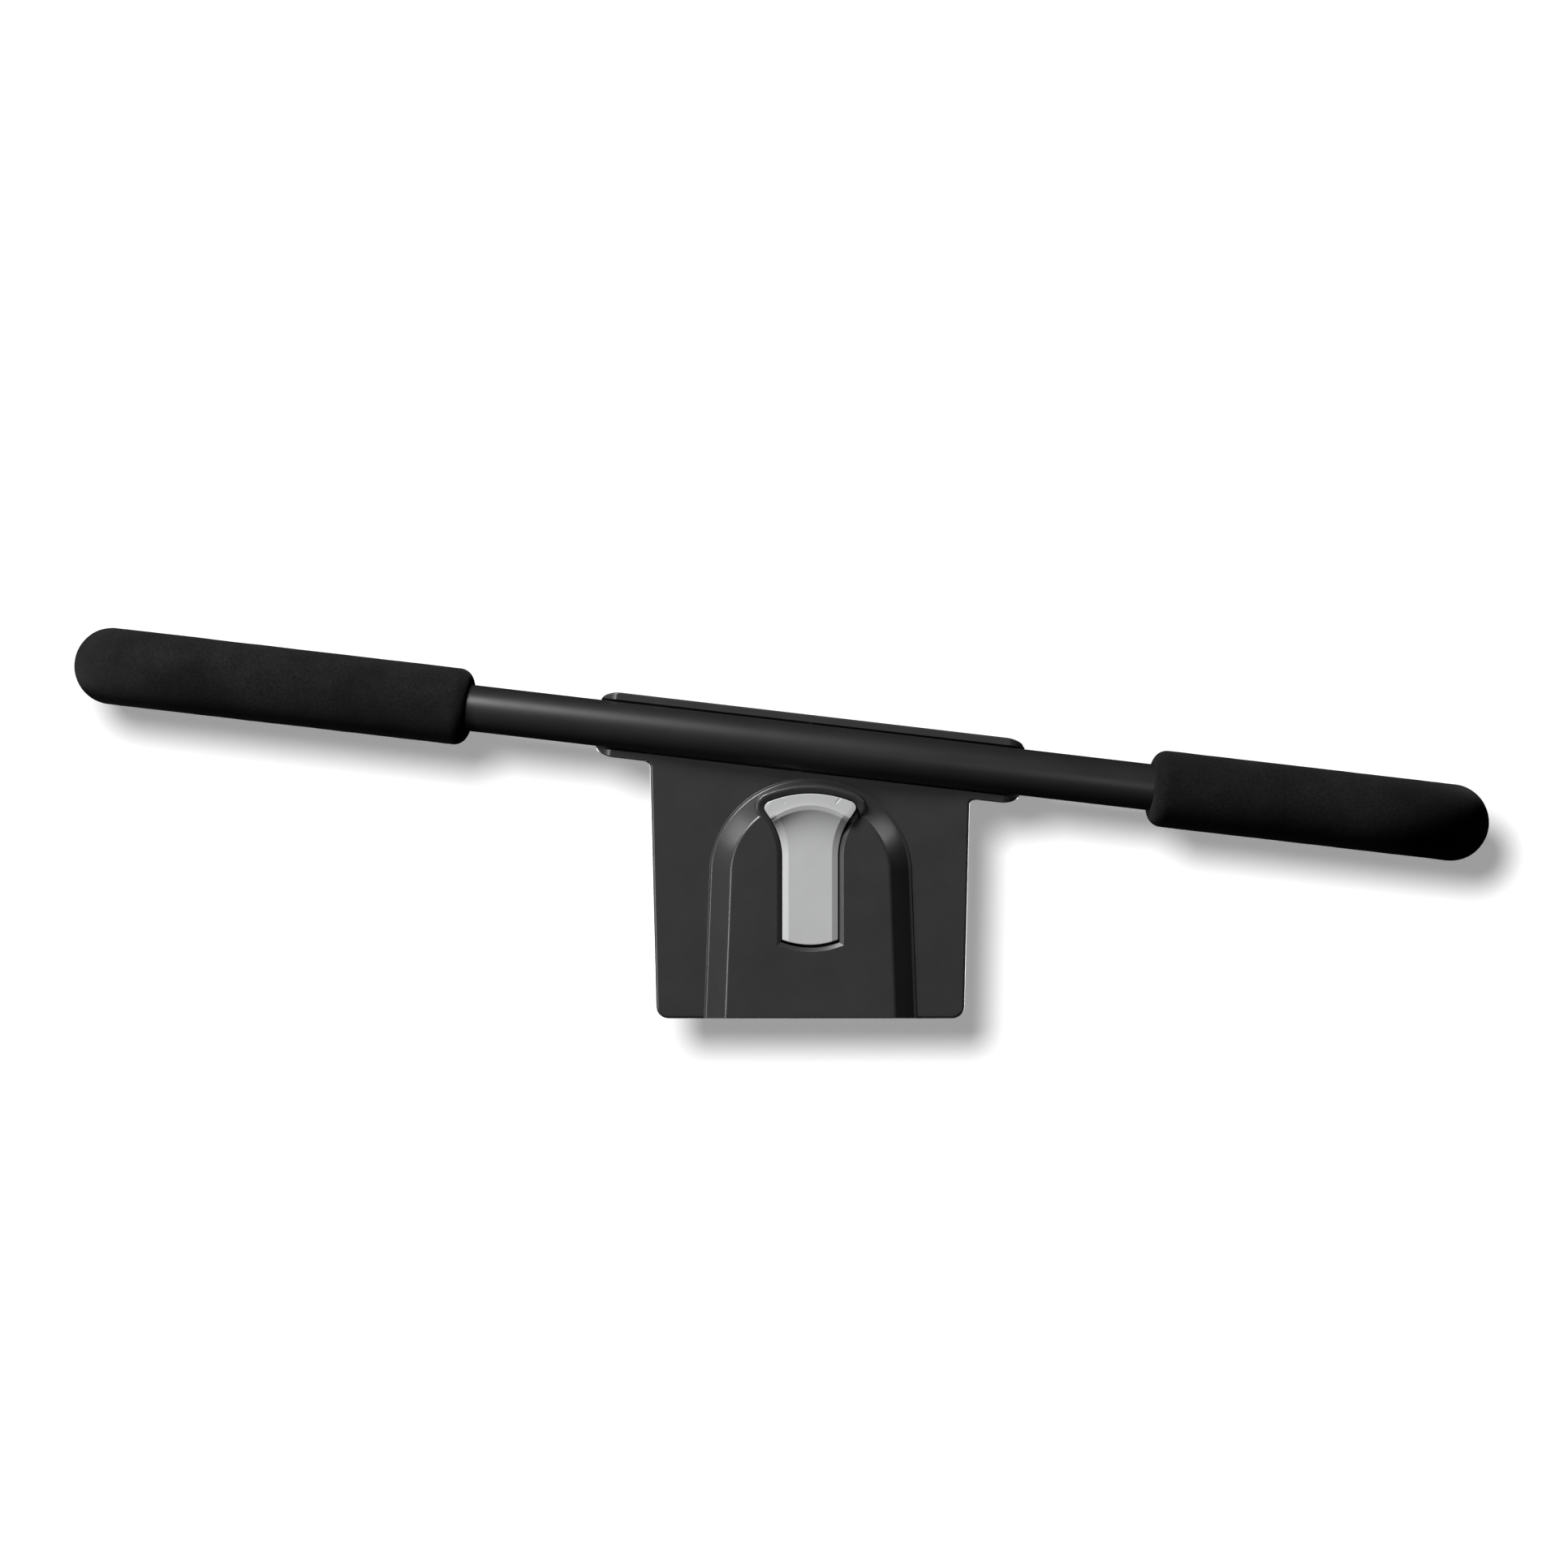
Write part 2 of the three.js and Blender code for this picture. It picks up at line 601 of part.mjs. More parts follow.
function bracketShell() {
  const depth = BODY_BACK - BODY_FRONT - 2 * EDGE_ROUND;
  const options = { depth, curveSegments: 7, bevelEnabled: true, bevelSegments: 2 };
  Object.assign(options, { bevelThickness: EDGE_ROUND, bevelSize: EDGE_ROUND, bevelOffset: -EDGE_ROUND });
  const body = standing(new THREE.ExtrudeGeometry(bracketOutline(), options), BODY_BACK - EDGE_ROUND);
  let shell = solid(body).intersect(solid(endRollKeeper())).add(bossSolid());
  shell = shell.subtract(solid(slotCutter())).subtract(leverOpening()).subtract(socketHollow());
  for (const cell of wingCells()) {
    shell = shell.subtract(solid(cell));
  }
  for (const [x, z] of PLATE_SCREW_PLACES) {
    shell = shell.subtract(solid(turned(plateScrewProfile(REST_GAP), x, z, 12)));
  }
  for (const along of TUBE_BOLT_PLACES) {
    const { x, y: z } = fromBar(along, 0);
    shell = shell.subtract(solid(turned(tubeBoltProfile(along, REST_GAP), x, z, 16)));
    const back = BAR_DEPTH + TUBE_RADIUS + bowDepth(along);
    const relief = [[0, back - 6], [8.2, back - 6], [8.2, back + 2.2], [0, back + 2.2]];
    shell = shell.subtract(solid(turned(relief, x, z, 16)));
  }
  const guideHole = [[0, -30], [8 + REST_GAP, -30], [8 + REST_GAP, -10], [0, -10]];
  shell = shell.subtract(solid(turned(guideHole)));
  for (const z of HINGE_SCREW_HEIGHTS) {
    shell = shell.subtract(solid(turned([[0, -30], [1.8, -30], [1.8, -10], [0, -10]], 0, z, 12)));
  }
  return geometryOf(shell);
}

function backPlate() {
  let plate = solid(slab(bracketOutline(1.2), -BACK_PLATE_THICKNESS, 0, 0, 6));
  for (const [x, z] of PLATE_SCREW_PLACES) {
    plate = plate.subtract(solid(turned(plateScrewProfile(REST_GAP), x, z, 12)));
  }
  for (const along of TUBE_BOLT_PLACES) {
    const { x, y: z } = fromBar(along, 0);
    plate = plate.subtract(solid(turned(tubeBoltProfile(along, REST_GAP), x, z, 16)));
  }
  return geometryOf(plate);
}

/** Nylon strip on one side wall of the socket. */
function socketLiner(side) {
  const thickness = 3;
  const low = PLATE_BOTTOM + 6;
  const high = BOSS_SPRING_Z - 4;
  const wall = (z) => {
    const share = (z - PLATE_BOTTOM) / (BOSS_SPRING_Z - PLATE_BOTTOM);
    return SOCKET_HALF_BOTTOM + (SOCKET_HALF_AT_SPRING - SOCKET_HALF_BOTTOM) * share - REST_GAP;
  };
  const outline = roundedShape([
    [wall(low), low], [wall(high), high], [wall(high) - thickness, high], [wall(low) - thickness, low],
  ].map(([x, y]) => ({ at: new THREE.Vector2(side * x, y), before: 1, after: 1 })));
  return slab(outline, WELL_FLOOR_BACK + REST_GAP, BODY_BACK - REST_GAP, 0, 3);
}

/** Rubber block that the tongue's tip rests against at the top of the socket. */
function socketStopPad() {
  const outline = roundedShape([
    [-20, 34], [20, 34], [20, 40], [-20, 40],
  ].map(([x, y]) => ({ at: new THREE.Vector2(x, y), before: 2, after: 2 })));
  return slab(outline, WELL_FLOOR_BACK + REST_GAP, BODY_BACK - REST_GAP, 0, 4);
}

// ---------------------------------------------------------------- pieces of the latch

const HINGE_SCREW_HEIGHTS = [-18.6, -37];
const BRACKET_BASE_FRONT = WELL_FLOOR_FRONT - REST_GAP - 2;

/** Side outline of an eye round a pin, standing on a base line. */
function eyeShape(y, z, radius, baseY) {
  const shape = new THREE.Shape();
  shape.moveTo(baseY, z - radius);
  shape.lineTo(baseY, z + radius);
  shape.lineTo(y, z + radius);
  shape.absarc(y, z, radius, Math.PI / 2, (3 * Math.PI) / 2, false);
  shape.closePath();
  return shape;
}

/** Pressed-steel bracket: a base on the floor of the well and two ears for the pivot pin. */
function hingeBracket() {
  const base = box([-EAR_OUTER, BRACKET_BASE_FRONT, -39.4], [EAR_OUTER, WELL_FLOOR_FRONT - REST_GAP, -14.5]);
  let bracket = solid(base);
  const ear = eyeShape(PIVOT_Y, PIVOT_Z, EYE_RADIUS, WELL_FLOOR_FRONT - REST_GAP - 0.5);
  for (const [low, high] of [[-EAR_OUTER, -EAR_INNER], [EAR_INNER, EAR_OUTER]]) {
    bracket = bracket.add(solid(sideSlab(ear, low, high, 16)));
  }
  const pinHole = rodAlongX(PIVOT_PIN_RADIUS + RUNNING_GAP, -20, 20, PIVOT_Y, PIVOT_Z);
  bracket = bracket.subtract(solid(pinHole));
  for (const z of HINGE_SCREW_HEIGHTS) {
    bracket = bracket.subtract(solid(turned([[0, -30], [1.8, -30], [1.8, -10], [0, -10]], 0, z, 12)));
  }
  return geometryOf(bracket);
}

function hingeScrew(z) {
  const seat = BRACKET_BASE_FRONT - REST_GAP;
  const profile = [
    [0, seat - 1.5], [2, seat - 1.5], [2.8, seat - 0.9], [2.8, seat], [1.5, seat], [1.5, -17.3], [0, -17.3],
  ];
  return turned(profile, 0, z, 16);
}

function leverPivotPin() {
  return rodAlongX(PIVOT_PIN_RADIUS, -16.8, 16.8, PIVOT_Y, PIVOT_Z);
}

/** Snap ring on one end of the pivot pin, open on one side. */
function pivotClip(side) {
  const inner = PIVOT_PIN_RADIUS + REST_GAP;
  const outer = 4.4;
  const opening = 0.7;
  const shape = new THREE.Shape();
  shape.absarc(0, 0, outer, opening, 2 * Math.PI - opening, false);
  shape.absarc(0, 0, inner, 2 * Math.PI - opening, opening, true);
  shape.closePath();
  const xLow = side > 0 ? EAR_OUTER + REST_GAP : -EAR_OUTER - REST_GAP - 0.8;
  return sideSlab(shape, xLow, xLow + 0.8, 10).translate(0, PIVOT_Y, PIVOT_Z);
}

/** Torsion spring round the pivot pin: a straight leg, the turns, and a second straight leg. */
class SpringRoute extends THREE.Curve {
  static coilRadius = 3.8;
  static halfLength = 5;
  static turns = 4;
  static steps = 40;

  getPoint(t, target = new THREE.Vector3()) {
    const { coilRadius, halfLength, turns } = SpringRoute;
    const legShare = 0.05;
    if (t < legShare) {
      const run = (1 - t / legShare) * 12;
      return target.set(halfLength, PIVOT_Y - coilRadius, PIVOT_Z + run);
    }
    if (t > 1 - legShare) {
      const run = ((t - 1 + legShare) / legShare) * 7;
      return target.set(-halfLength, PIVOT_Y + coilRadius + run * 0.18, PIVOT_Z + run);
    }
    const share = (t - legShare) / (1 - 2 * legShare);
    const angle = -Math.PI / 2 - share * (2 * Math.PI * turns - Math.PI);
    const x = halfLength - 2 * halfLength * share;
    return target.set(x, PIVOT_Y + coilRadius * Math.sin(angle), PIVOT_Z + coilRadius * Math.cos(angle));
  }

  getUtoTmapping(u) {
    return u;
  }
}

function leverSpring() {
  const section = new THREE.Shape().absarc(0, 0, 0.5, 0, 2 * Math.PI, false);
  const route = new SpringRoute();
  const options = { steps: SpringRoute.steps, extrudePath: route, curveSegments: 4, bevelEnabled: false };
  return new THREE.ExtrudeGeometry(section, options);
}

/** Half width of the lever's blank at a height; above the head's corners it goes on spreading. */
function leverHalf(z) {
  const stations = [
    [15, 18.15], [20, 18.4], [25, 19.3], [30, 20.8], [35, 22.8], [39.4, 25.2], [45, 29], [70, 46],
  ];
  if (z <= stations[0][0]) {
    return LEVER_NECK_HALF;
  }
  const i = stations.findIndex(([height]) => z <= height);
  const [[zLow, low], [zHigh, high]] = [stations[i - 1], stations[i]];
  return low + ((high - low) * (z - zLow)) / (zHigh - zLow);
}

/** Height of the ridge across the head, and of the softer line below it. */
function ridgeHeight(x) {
  return LEVER_RIDGE_Z - x ** 2 / (2 * LEVER_RIDGE_RADIUS);
}

/** A closed body between two grids of points that have the same rows and columns. */
function betweenGrids(front, back) {
  const rows = front.length;
  const columns = front[0].length;
  const points = [...front, ...back].flat();
  const at = (layer, r, c) => (layer * rows + r) * columns + c;
  const triangles = [];
  const quad = (a, b, c, d) => triangles.push(a, b, c, a, c, d);
  for (let r = 0; r < rows - 1; r += 1) {
    for (let c = 0; c < columns - 1; c += 1) {
      quad(at(0, r, c), at(0, r, c + 1), at(0, r + 1, c + 1), at(0, r + 1, c));
      quad(at(1, r, c), at(1, r + 1, c), at(1, r + 1, c + 1), at(1, r, c + 1));
    }
    quad(at(0, r, 0), at(0, r + 1, 0), at(1, r + 1, 0), at(1, r, 0));
    quad(at(0, r, columns - 1), at(1, r, columns - 1), at(1, r + 1, columns - 1), at(0, r + 1, columns - 1));
  }
  for (let c = 0; c < columns - 1; c += 1) {
    quad(at(0, 0, c), at(1, 0, c), at(1, 0, c + 1), at(0, 0, c + 1));
    quad(at(0, rows - 1, c), at(0, rows - 1, c + 1), at(1, rows - 1, c + 1), at(1, rows - 1, c));
  }
  const geometry = new THREE.BufferGeometry();
  geometry.setAttribute('position', new THREE.Float32BufferAttribute(points.flat(), 3));
  geometry.setIndex(triangles);
  return geometry;
}

/** The lever's blank: side chamfers, and a face that sweeps forward to a curved ridge. */
function leverBlank() {
  const back = LEVER_FACE + LEVER_THICKNESS;
  const sweepRows = 8;
  const rows = [{ flat: LEVER_BOTTOM - 6 }];
  for (let i = 0; i <= sweepRows; i += 1) {
    rows.push({ share: i / sweepRows });
  }
  rows.push({ ridge: true }, { flat: LEVER_TOP + 4 });
  const front = rows.map((row, r) => [-1, -0.9, -0.6, -0.3, 0, 0.3, 0.6, 0.9, 1].map((u, c, all) => {
    const height = (x) => {
      if (row.flat !== undefined) {
        return row.flat;
      }
      const line = ridgeHeight(x) - (row.ridge ? 0 : LEVER_RIDGE_BAND);
      return row.ridge ? line : LEVER_FLARE_START + (line - LEVER_FLARE_START) * row.share;
    };
    const guess = Math.min(leverHalf(height(0)), LEVER_HEAD_HALF);
    const z = height(u * guess);
    const half = leverHalf(z);
    const inner = half - LEVER_CHAMFER_WIDTH;
    const outermost = c === 0 || c === all.length - 1;
    const x = outermost ? u * half : (u / 0.9) * inner;
    let rise = 0;
    if (row.share !== undefined) {
      rise = (LEVER_FLARE_RISE - LEVER_RIDGE_STEP) * row.share ** 2;
    } else if (r > 1) {
      rise = LEVER_FLARE_RISE;
    }
    const edgeBreak = rise < LEVER_FLARE_RISE ? LEVER_CHAMFER_DEPTH : LEVER_HEAD_EDGE;
    return [x, LEVER_FACE - rise + (outermost ? edgeBreak : 0), z];
  }));
  return betweenGrids(front, front.map((row) => row.map(([x, , z]) => [x, back, z])));
}

/** Rib behind the lever: an eye on the pivot pin and a slotted eye on the link pin. */
function leverRib() {
  const back = LEVER_FACE + LEVER_THICKNESS - 1;
  const shape = new THREE.Shape();
  const r = EYE_RADIUS;
  const top = LINK_SLOT_TRAVEL;
  shape.moveTo(back, PIVOT_Z - r);
  shape.lineTo(PIVOT_Y, PIVOT_Z - r);
  shape.absarc(PIVOT_Y, PIVOT_Z, r, -Math.PI / 2, 0, false);
  shape.lineTo(LINK_Y + r, 0);
  shape.lineTo(LINK_Y + r, top);
  shape.absarc(LINK_Y, top, r, 0, Math.PI / 2, false);
  shape.lineTo(back, top + r);
  shape.closePath();
  return shape;
}

function releaseLever() {
  const outline = slab(leverShape(), LEVER_FACE - 12, LEVER_FACE + LEVER_THICKNESS, 0, 8);
  let lever = solid(leverBlank()).intersect(solid(outline));
  const rib = leverRib();
  for (const low of [-RIB_OUTER, RIB_INNER]) {
    lever = lever.add(solid(sideSlab(rib, low, low + RIB_OUTER - RIB_INNER, 7)));
  }
  const pivotHole = rodAlongX(PIVOT_PIN_RADIUS + RUNNING_GAP, -20, 20, PIVOT_Y, PIVOT_Z);
  const slotRadius = LINK_PIN_RADIUS + LINK_SLOT_CLEARANCE;
  const slot = new THREE.Shape();
  slot.absarc(LINK_Y, LINK_SLOT_TRAVEL, slotRadius, 0, Math.PI, false);
  slot.absarc(LINK_Y, 0, slotRadius, Math.PI, 2 * Math.PI, false);
  slot.closePath();
  lever = lever.subtract(solid(pivotHole)).subtract(solid(sideSlab(slot, -20, 20, 10)));
  return geometryOf(lever);
}

/** The latch bolt: a round bolt with a flat eye at its front end. */
function latchBolt() {
  const shoulder = -25.5;
  const round = turned([
    [0, shoulder], [BOLT_RADIUS, shoulder], [BOLT_RADIUS, BOLT_TIP_Y - 1],
    [BOLT_RADIUS - 1, BOLT_TIP_Y], [0, BOLT_TIP_Y],
  ]);
  const eye = sideSlab(eyeShape(LINK_Y, 0, BOLT_EYE_RADIUS, shoulder + 1), -5, 5, 12);
  const hole = rodAlongX(LINK_PIN_RADIUS + RUNNING_GAP, -10, 10, LINK_Y, 0);
  return geometryOf(solid(round).add(solid(eye)).subtract(solid(hole)));
}

function linkPin() {
  return rodAlongX(LINK_PIN_RADIUS, -11.3, 11.3, LINK_Y, 0);
}

/** Flanged bush that guides the bolt through the floor of the well. */
function boltGuide() {
  const bore = BOLT_RADIUS + RUNNING_GAP;
  const seat = WELL_FLOOR_FRONT - REST_GAP;
  return turned([
    [bore, seat - 2.2], [bore, WELL_FLOOR_BACK], [8, WELL_FLOOR_BACK], [8, seat],
    [9.6, seat], [9.6, seat - 2.2], [bore, seat - 2.2],
  ].reverse());
}

// ---------------------------------------------------------------- pieces of the bar

const LEFT_TUBE = new HalfRoute(-1, LEFT_REACH, TUBE_STRETCHES);
const RIGHT_TUBE = new HalfRoute(1, RIGHT_REACH, TUBE_STRETCHES);
const LEFT_GRIP = new HalfRoute(-1, LEFT_REACH, GRIP_STRETCHES);
const RIGHT_GRIP = new HalfRoute(1, RIGHT_REACH, GRIP_STRETCHES);

function barTube() {
  const route = new WholeRoute(LEFT_TUBE, RIGHT_TUBE);
  let tube = solid(swept(route, TUBE_RADIUS, TUBE_RADIUS - TUBE_WALL, SIDES / 2));
  for (const along of TUBE_BOLT_PLACES) {
    const back = TUBE_RADIUS + bowDepth(along);
    const hole = [[0, back - 8], [5.8, back - 8], [5.8, back + 4], [0, back + 4]];
    tube = tube.subtract(solid(turned(hole, along, 0, 16)));
  }
  return geometryOf(tube);
}

/** Rubber strip between the tube and the bottom of its slot. */
function saddleLiner() {
  const outer = SLOT_RADIUS - 0.2;
  const inner = TUBE_RADIUS + 0.2;
  const low = THREE.MathUtils.degToRad(20);
  const high = Math.PI - low;
  const section = new THREE.Shape();
  section.absarc(0, 0, outer, low, high, false);
  section.absarc(0, 0, inner, high, low, true);
  section.closePath();
  const half = FLANGE_HALF_LENGTH - 4;
  const route = new THREE.QuadraticBezierCurve3(
    new THREE.Vector3(-half, bowDepth(half), 0),
    new THREE.Vector3(0, -bowDepth(half), 0),
    new THREE.Vector3(half, bowDepth(half), 0),
  );
  const options = { steps: 9, extrudePath: route, bevelEnabled: false, curveSegments: 9 };
  let liner = solid(new THREE.ExtrudeGeometry(section, options));
  for (const along of TUBE_BOLT_PLACES) {
    const back = TUBE_RADIUS + bowDepth(along);
    const hole = [[0, back - 8], [8.4, back - 8], [8.4, back + 6], [0, back + 6]];
    liner = liner.subtract(solid(turned(hole, along, 0, 16)));
  }
  return geometryOf(liner);
}

/** Foam grip: rounded at the inner end, domed at the outer end, bored for the tube and its plug. */
function foamGrip(route) {
  const start = endMatrix(route, 0);
  const end = endMatrix(route, 1);
  const round = FOAM_INNER_ROUND;
  const arc = [];
  const arcSteps = 5;
  for (let i = 0; i <= arcSteps; i += 1) {
    const a = (i / arcSteps) * (Math.PI / 2);
    arc.push([FOAM_RADIUS - round + round * Math.sin(a), -round * Math.cos(a)]);
  }
  const collar = turned([[0, -round], ...arc, [FOAM_RADIUS, 0.5], [0, 0.5]])
    .translate(0, round, 0).applyMatrix4(start);
  const gripRoute = Object.create(route);
  gripRoute.station = (t) => {
    const station = route.station(t);
    if (t > 0) {
      return station;
    }
    const back = round * Math.cos(station.angle);
    return { ...station, x: station.x + back, y: station.y + back * Math.tan(station.angle) };
  };
  const dome = new THREE.SphereGeometry(FOAM_RADIUS, SIDES, 14).applyMatrix4(end);
  const plugRoom = new THREE.CylinderGeometry(TUBE_RADIUS + REST_GAP, TUBE_RADIUS + REST_GAP, 5, SIDES)
    .translate(0, 1.5, 0).applyMatrix4(end);
  const inlet = new THREE.CylinderGeometry(TUBE_RADIUS + REST_GAP, TUBE_RADIUS + REST_GAP, 8, SIDES)
    .translate(0, 0, 0).applyMatrix4(start);
  const bore = swept(route, TUBE_RADIUS + REST_GAP, 0, SIDES / 2);
  return geometryOf(
    solid(collar).add(solid(swept(gripRoute, FOAM_RADIUS, 0, SIDES / 2))).add(solid(dome))
      .subtract(solid(bore)).subtract(solid(plugRoom)).subtract(solid(inlet)),
  );
}

/** Plastic plug: a cap over the tube's end and a hollow stem inside it. */
function endPlug(route) {
  const cap = TUBE_RADIUS - 0.2;
  const stem = TUBE_RADIUS - TUBE_WALL - REST_GAP;
  const profile = [
    [0, 3], [0, 1.2], [stem - 2, 1.2], [stem - 2, -13], [stem, -13], [stem, REST_GAP], [cap, REST_GAP],
    [cap, 2.4], [cap - 0.6, 3], [0, 3],
  ];
  return turned(profile).applyMatrix4(endMatrix(route, 1));
}

// ---------------------------------------------------------------- finishes

const FINISHES = {
  tube: { color: 0x1c1c1d, roughness: 0.38, metalness: 0.25 },
  foam: { color: 0x121213, roughness: 0.95, metalness: 0 },
  moulding: { color: 0x1e1f20, roughness: 0.5, metalness: 0 },
  lever: { color: 0xb4b5b6, roughness: 0.45, metalness: 0 },
  rubber: { color: 0x151515, roughness: 0.85, metalness: 0 },
  nylon: { color: 0xd8d6cd, roughness: 0.5, metalness: 0 },
  blackSteel: { color: 0x232426, roughness: 0.45, metalness: 0.6 },
  brightSteel: { color: 0xa9abad, roughness: 0.3, metalness: 1 },
};

function piece(name, geometry, finish) {
  const mesh = new THREE.Mesh(geometry, new THREE.MeshStandardMaterial(FINISHES[finish]));
  mesh.name = name;
  return mesh;
}

// ---------------------------------------------------------------- assembly

const pullUpBar = new THREE.Group();

const bar = new THREE.Group();
bar.applyMatrix4(BAR_MATRIX);
bar.add(
  piece('bar_tube', barTube(), 'tube'),
  piece('grip_left', foamGrip(LEFT_GRIP), 'foam'),
  piece('grip_right', foamGrip(RIGHT_GRIP), 'foam'),
  piece('end_plug_left', endPlug(LEFT_GRIP), 'rubber'),
  piece('end_plug_right', endPlug(RIGHT_GRIP), 'rubber'),
  piece('saddle_liner', saddleLiner(), 'rubber'),
);

const bracket = new THREE.Group();
bracket.add(
  piece('bracket_shell', bracketShell(), 'moulding'),
  piece('back_plate', backPlate(), 'blackSteel'),
  piece('socket_liner_left', socketLiner(-1), 'nylon'),
  piece('socket_liner_right', socketLiner(1), 'nylon'),
  piece('socket_stop_pad', socketStopPad(), 'rubber'),
  piece('hinge_bracket', hingeBracket(), 'brightSteel'),
  piece('lever_pivot_pin', leverPivotPin(), 'brightSteel'),
  piece('pivot_clip_left', pivotClip(-1), 'brightSteel'),
  piece('pivot_clip_right', pivotClip(1), 'brightSteel'),
  piece('lever_spring', leverSpring(), 'brightSteel'),
  piece('bolt_guide', boltGuide(), 'nylon'),
);
HINGE_SCREW_HEIGHTS.forEach((z, i) => {
  bracket.add(piece(`hinge_screw_${i + 1}`, hingeScrew(z), 'brightSteel'));
});
PLATE_SCREW_PLACES.forEach(([x, z], i) => {
  bracket.add(piece(`plate_screw_${i + 1}`, turned(plateScrewProfile(), x, z, 12), 'brightSteel'));
});
TUBE_BOLT_PLACES.forEach((along, i) => {
  const { x, y: z } = fromBar(along, 0);
  bracket.add(
    piece(`tube_bolt_${i + 1}`, turned(tubeBoltProfile(along), x, z, 16), 'blackSteel'),
    piece(`tube_insert_${i + 1}`, turned(insertProfile(along), x, z, 16), 'brightSteel'),
  );
});

const latch = new THREE.Group();
latch.add(
  piece('release_lever', releaseLever(), 'lever'),
  piece('latch_bolt', latchBolt(), 'brightSteel'),
  piece('link_pin', linkPin(), 'brightSteel'),
);

pullUpBar.add(bracket, bar, latch);

export default pullUpBar;
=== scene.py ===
import json
import math

import bmesh
import bpy
import numpy as np
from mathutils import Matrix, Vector, noise


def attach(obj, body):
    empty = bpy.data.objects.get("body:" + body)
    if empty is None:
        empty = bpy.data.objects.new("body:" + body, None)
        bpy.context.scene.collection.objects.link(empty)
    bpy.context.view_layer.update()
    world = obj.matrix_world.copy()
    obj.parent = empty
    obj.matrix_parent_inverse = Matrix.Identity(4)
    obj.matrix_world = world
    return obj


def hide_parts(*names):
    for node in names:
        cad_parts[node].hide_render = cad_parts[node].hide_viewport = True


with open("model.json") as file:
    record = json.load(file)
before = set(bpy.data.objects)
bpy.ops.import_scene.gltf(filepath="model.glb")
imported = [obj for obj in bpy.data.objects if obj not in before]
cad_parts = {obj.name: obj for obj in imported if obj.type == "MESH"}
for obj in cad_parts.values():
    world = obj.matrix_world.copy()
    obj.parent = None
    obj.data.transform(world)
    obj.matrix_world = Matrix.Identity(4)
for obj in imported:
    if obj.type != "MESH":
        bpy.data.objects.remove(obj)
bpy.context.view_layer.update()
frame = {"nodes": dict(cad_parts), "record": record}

scene = bpy.context.scene
MM = 0.001
KAPPA = 0.5523  # how far a cubic curve's handles reach to draw a quarter circle

# ---------------------------------------------------------------- dimensions, in millimetres

TILT = math.radians(6.66)
BAR_HEIGHT = 86.0
BAR_DEPTH = -30.0
TUBE_RADIUS = 15.0
TUBE_BORE = 12.5
BOW_RADIUS = 1150.0
BOW_ANGLE = math.radians(11)
CURL_RADIUS = 64.0
CURL_ANGLE = math.radians(75)
TAIL_LENGTH = 18.0
FOAM_RADIUS = 25.0
FOAM_BORE = 15.3
FOAM_START = 221.2
FOAM_ROUND = 9.0
REACH = {-1: 479.0, 1: 441.7}

BODY_BACK = -4.3
BODY_FRONT = -25.0
PLATE_BOTTOM = -89.0
PLATE_HALF_BOTTOM = 99.5
PLATE_HALF_AT_BAR = 103.8
PLATE_CORNER = 8.0
FLANGE_HALF_LENGTH = 137.7
FLANGE_HALF_HEIGHT = 21.1
FLANGE_CORNER = (12.6, 6.3)
FLANGE_END_ROLL = 16.0
INNER_FILLET = 4.0
EDGE_ROUND = 0.9
SLOT_HALF = 16.4
SLOT_WALL = 5.5
SLOT_DEPTH = 16.3

# An arch is its half width at the plate's foot, its half width where it springs, and its rise.
BOSS_FRONT = -39.0
BOSS_RUN = 12.0
BOSS_DROP = 12.8
ARCH = (55.0, 51.5, 48.5)
SOCKET_ARCH = (50.0, 47.0, 44.0)
SPRING_Z = 4.2
ARCH_HALF_POINTS = 96
ARCH_SIDE_ROWS = 23

NECK_HALF = 18.15
CROWN_HALF = 27.4
CROWN_EDGE_Z = 50.8
LEVER_TOP = 56.2
LEVER_BOTTOM = -41.6
LEVER_CORNER_Z = -38.3
LEVER_BACK = -34.0
OPENING_GAP = 0.5
EXTRA_BELOW = 1.1
SWING_ROOM = 2.4

# Holes for the hidden fasteners. Plate screws have (x, z) places in the front view, and tube
# bolts have distances along the bar.
PLATE_SCREWS = [
    (-85, -82), (85, -82), (-61.5, -40), (61.5, -40),
    (-61.5, 10), (61.5, 10), (-82, 66), (82, 47),
]
PLATE_SCREW_HEAD = 4.3
PLATE_SCREW_SHANK = 2.3
PLATE_SCREW_LENGTH = 14.3
TUBE_BOLTS = [-100, 0, 100]
TUBE_BOLT_HOLE = 4.3
TUBE_INSERT_HOLE = 5.8
TUBE_INSERT_RELIEF = 8.2
GUIDE_HOLE = 8.3
HINGE_SCREW_HOLE = 1.8
HINGE_SCREW_ROWS = (-18.6, -37.0)

# The lever's ribs and the pins through them, as (y, z) places in the side view.
PIVOT = (-29.0, -28.0)
LINK = (-30.0, 0.0)
EYE_RADIUS = 4.6
LINK_TRAVEL = 2.8
PIVOT_HOLE = 2.35
LINK_SLOT_RADIUS = 2.6
RIB_SIDES = (-10.5, 7.5)
RIB_THICKNESS = 3.0


# ---------------------------------------------------------------- curves and outlines

def bezier(p0, p1, p2, p3, count=12):
    """Points of a cubic curve, without its last point."""
    t = np.linspace(0, 1, count, endpoint=False)[:, None]
    p0, p1, p2, p3 = (np.asarray(p, float) for p in (p0, p1, p2, p3))
    return (1 - t) ** 3 * p0 + 3 * (1 - t) ** 2 * t * p1 + 3 * (1 - t) * t ** 2 * p2 + t ** 3 * p3


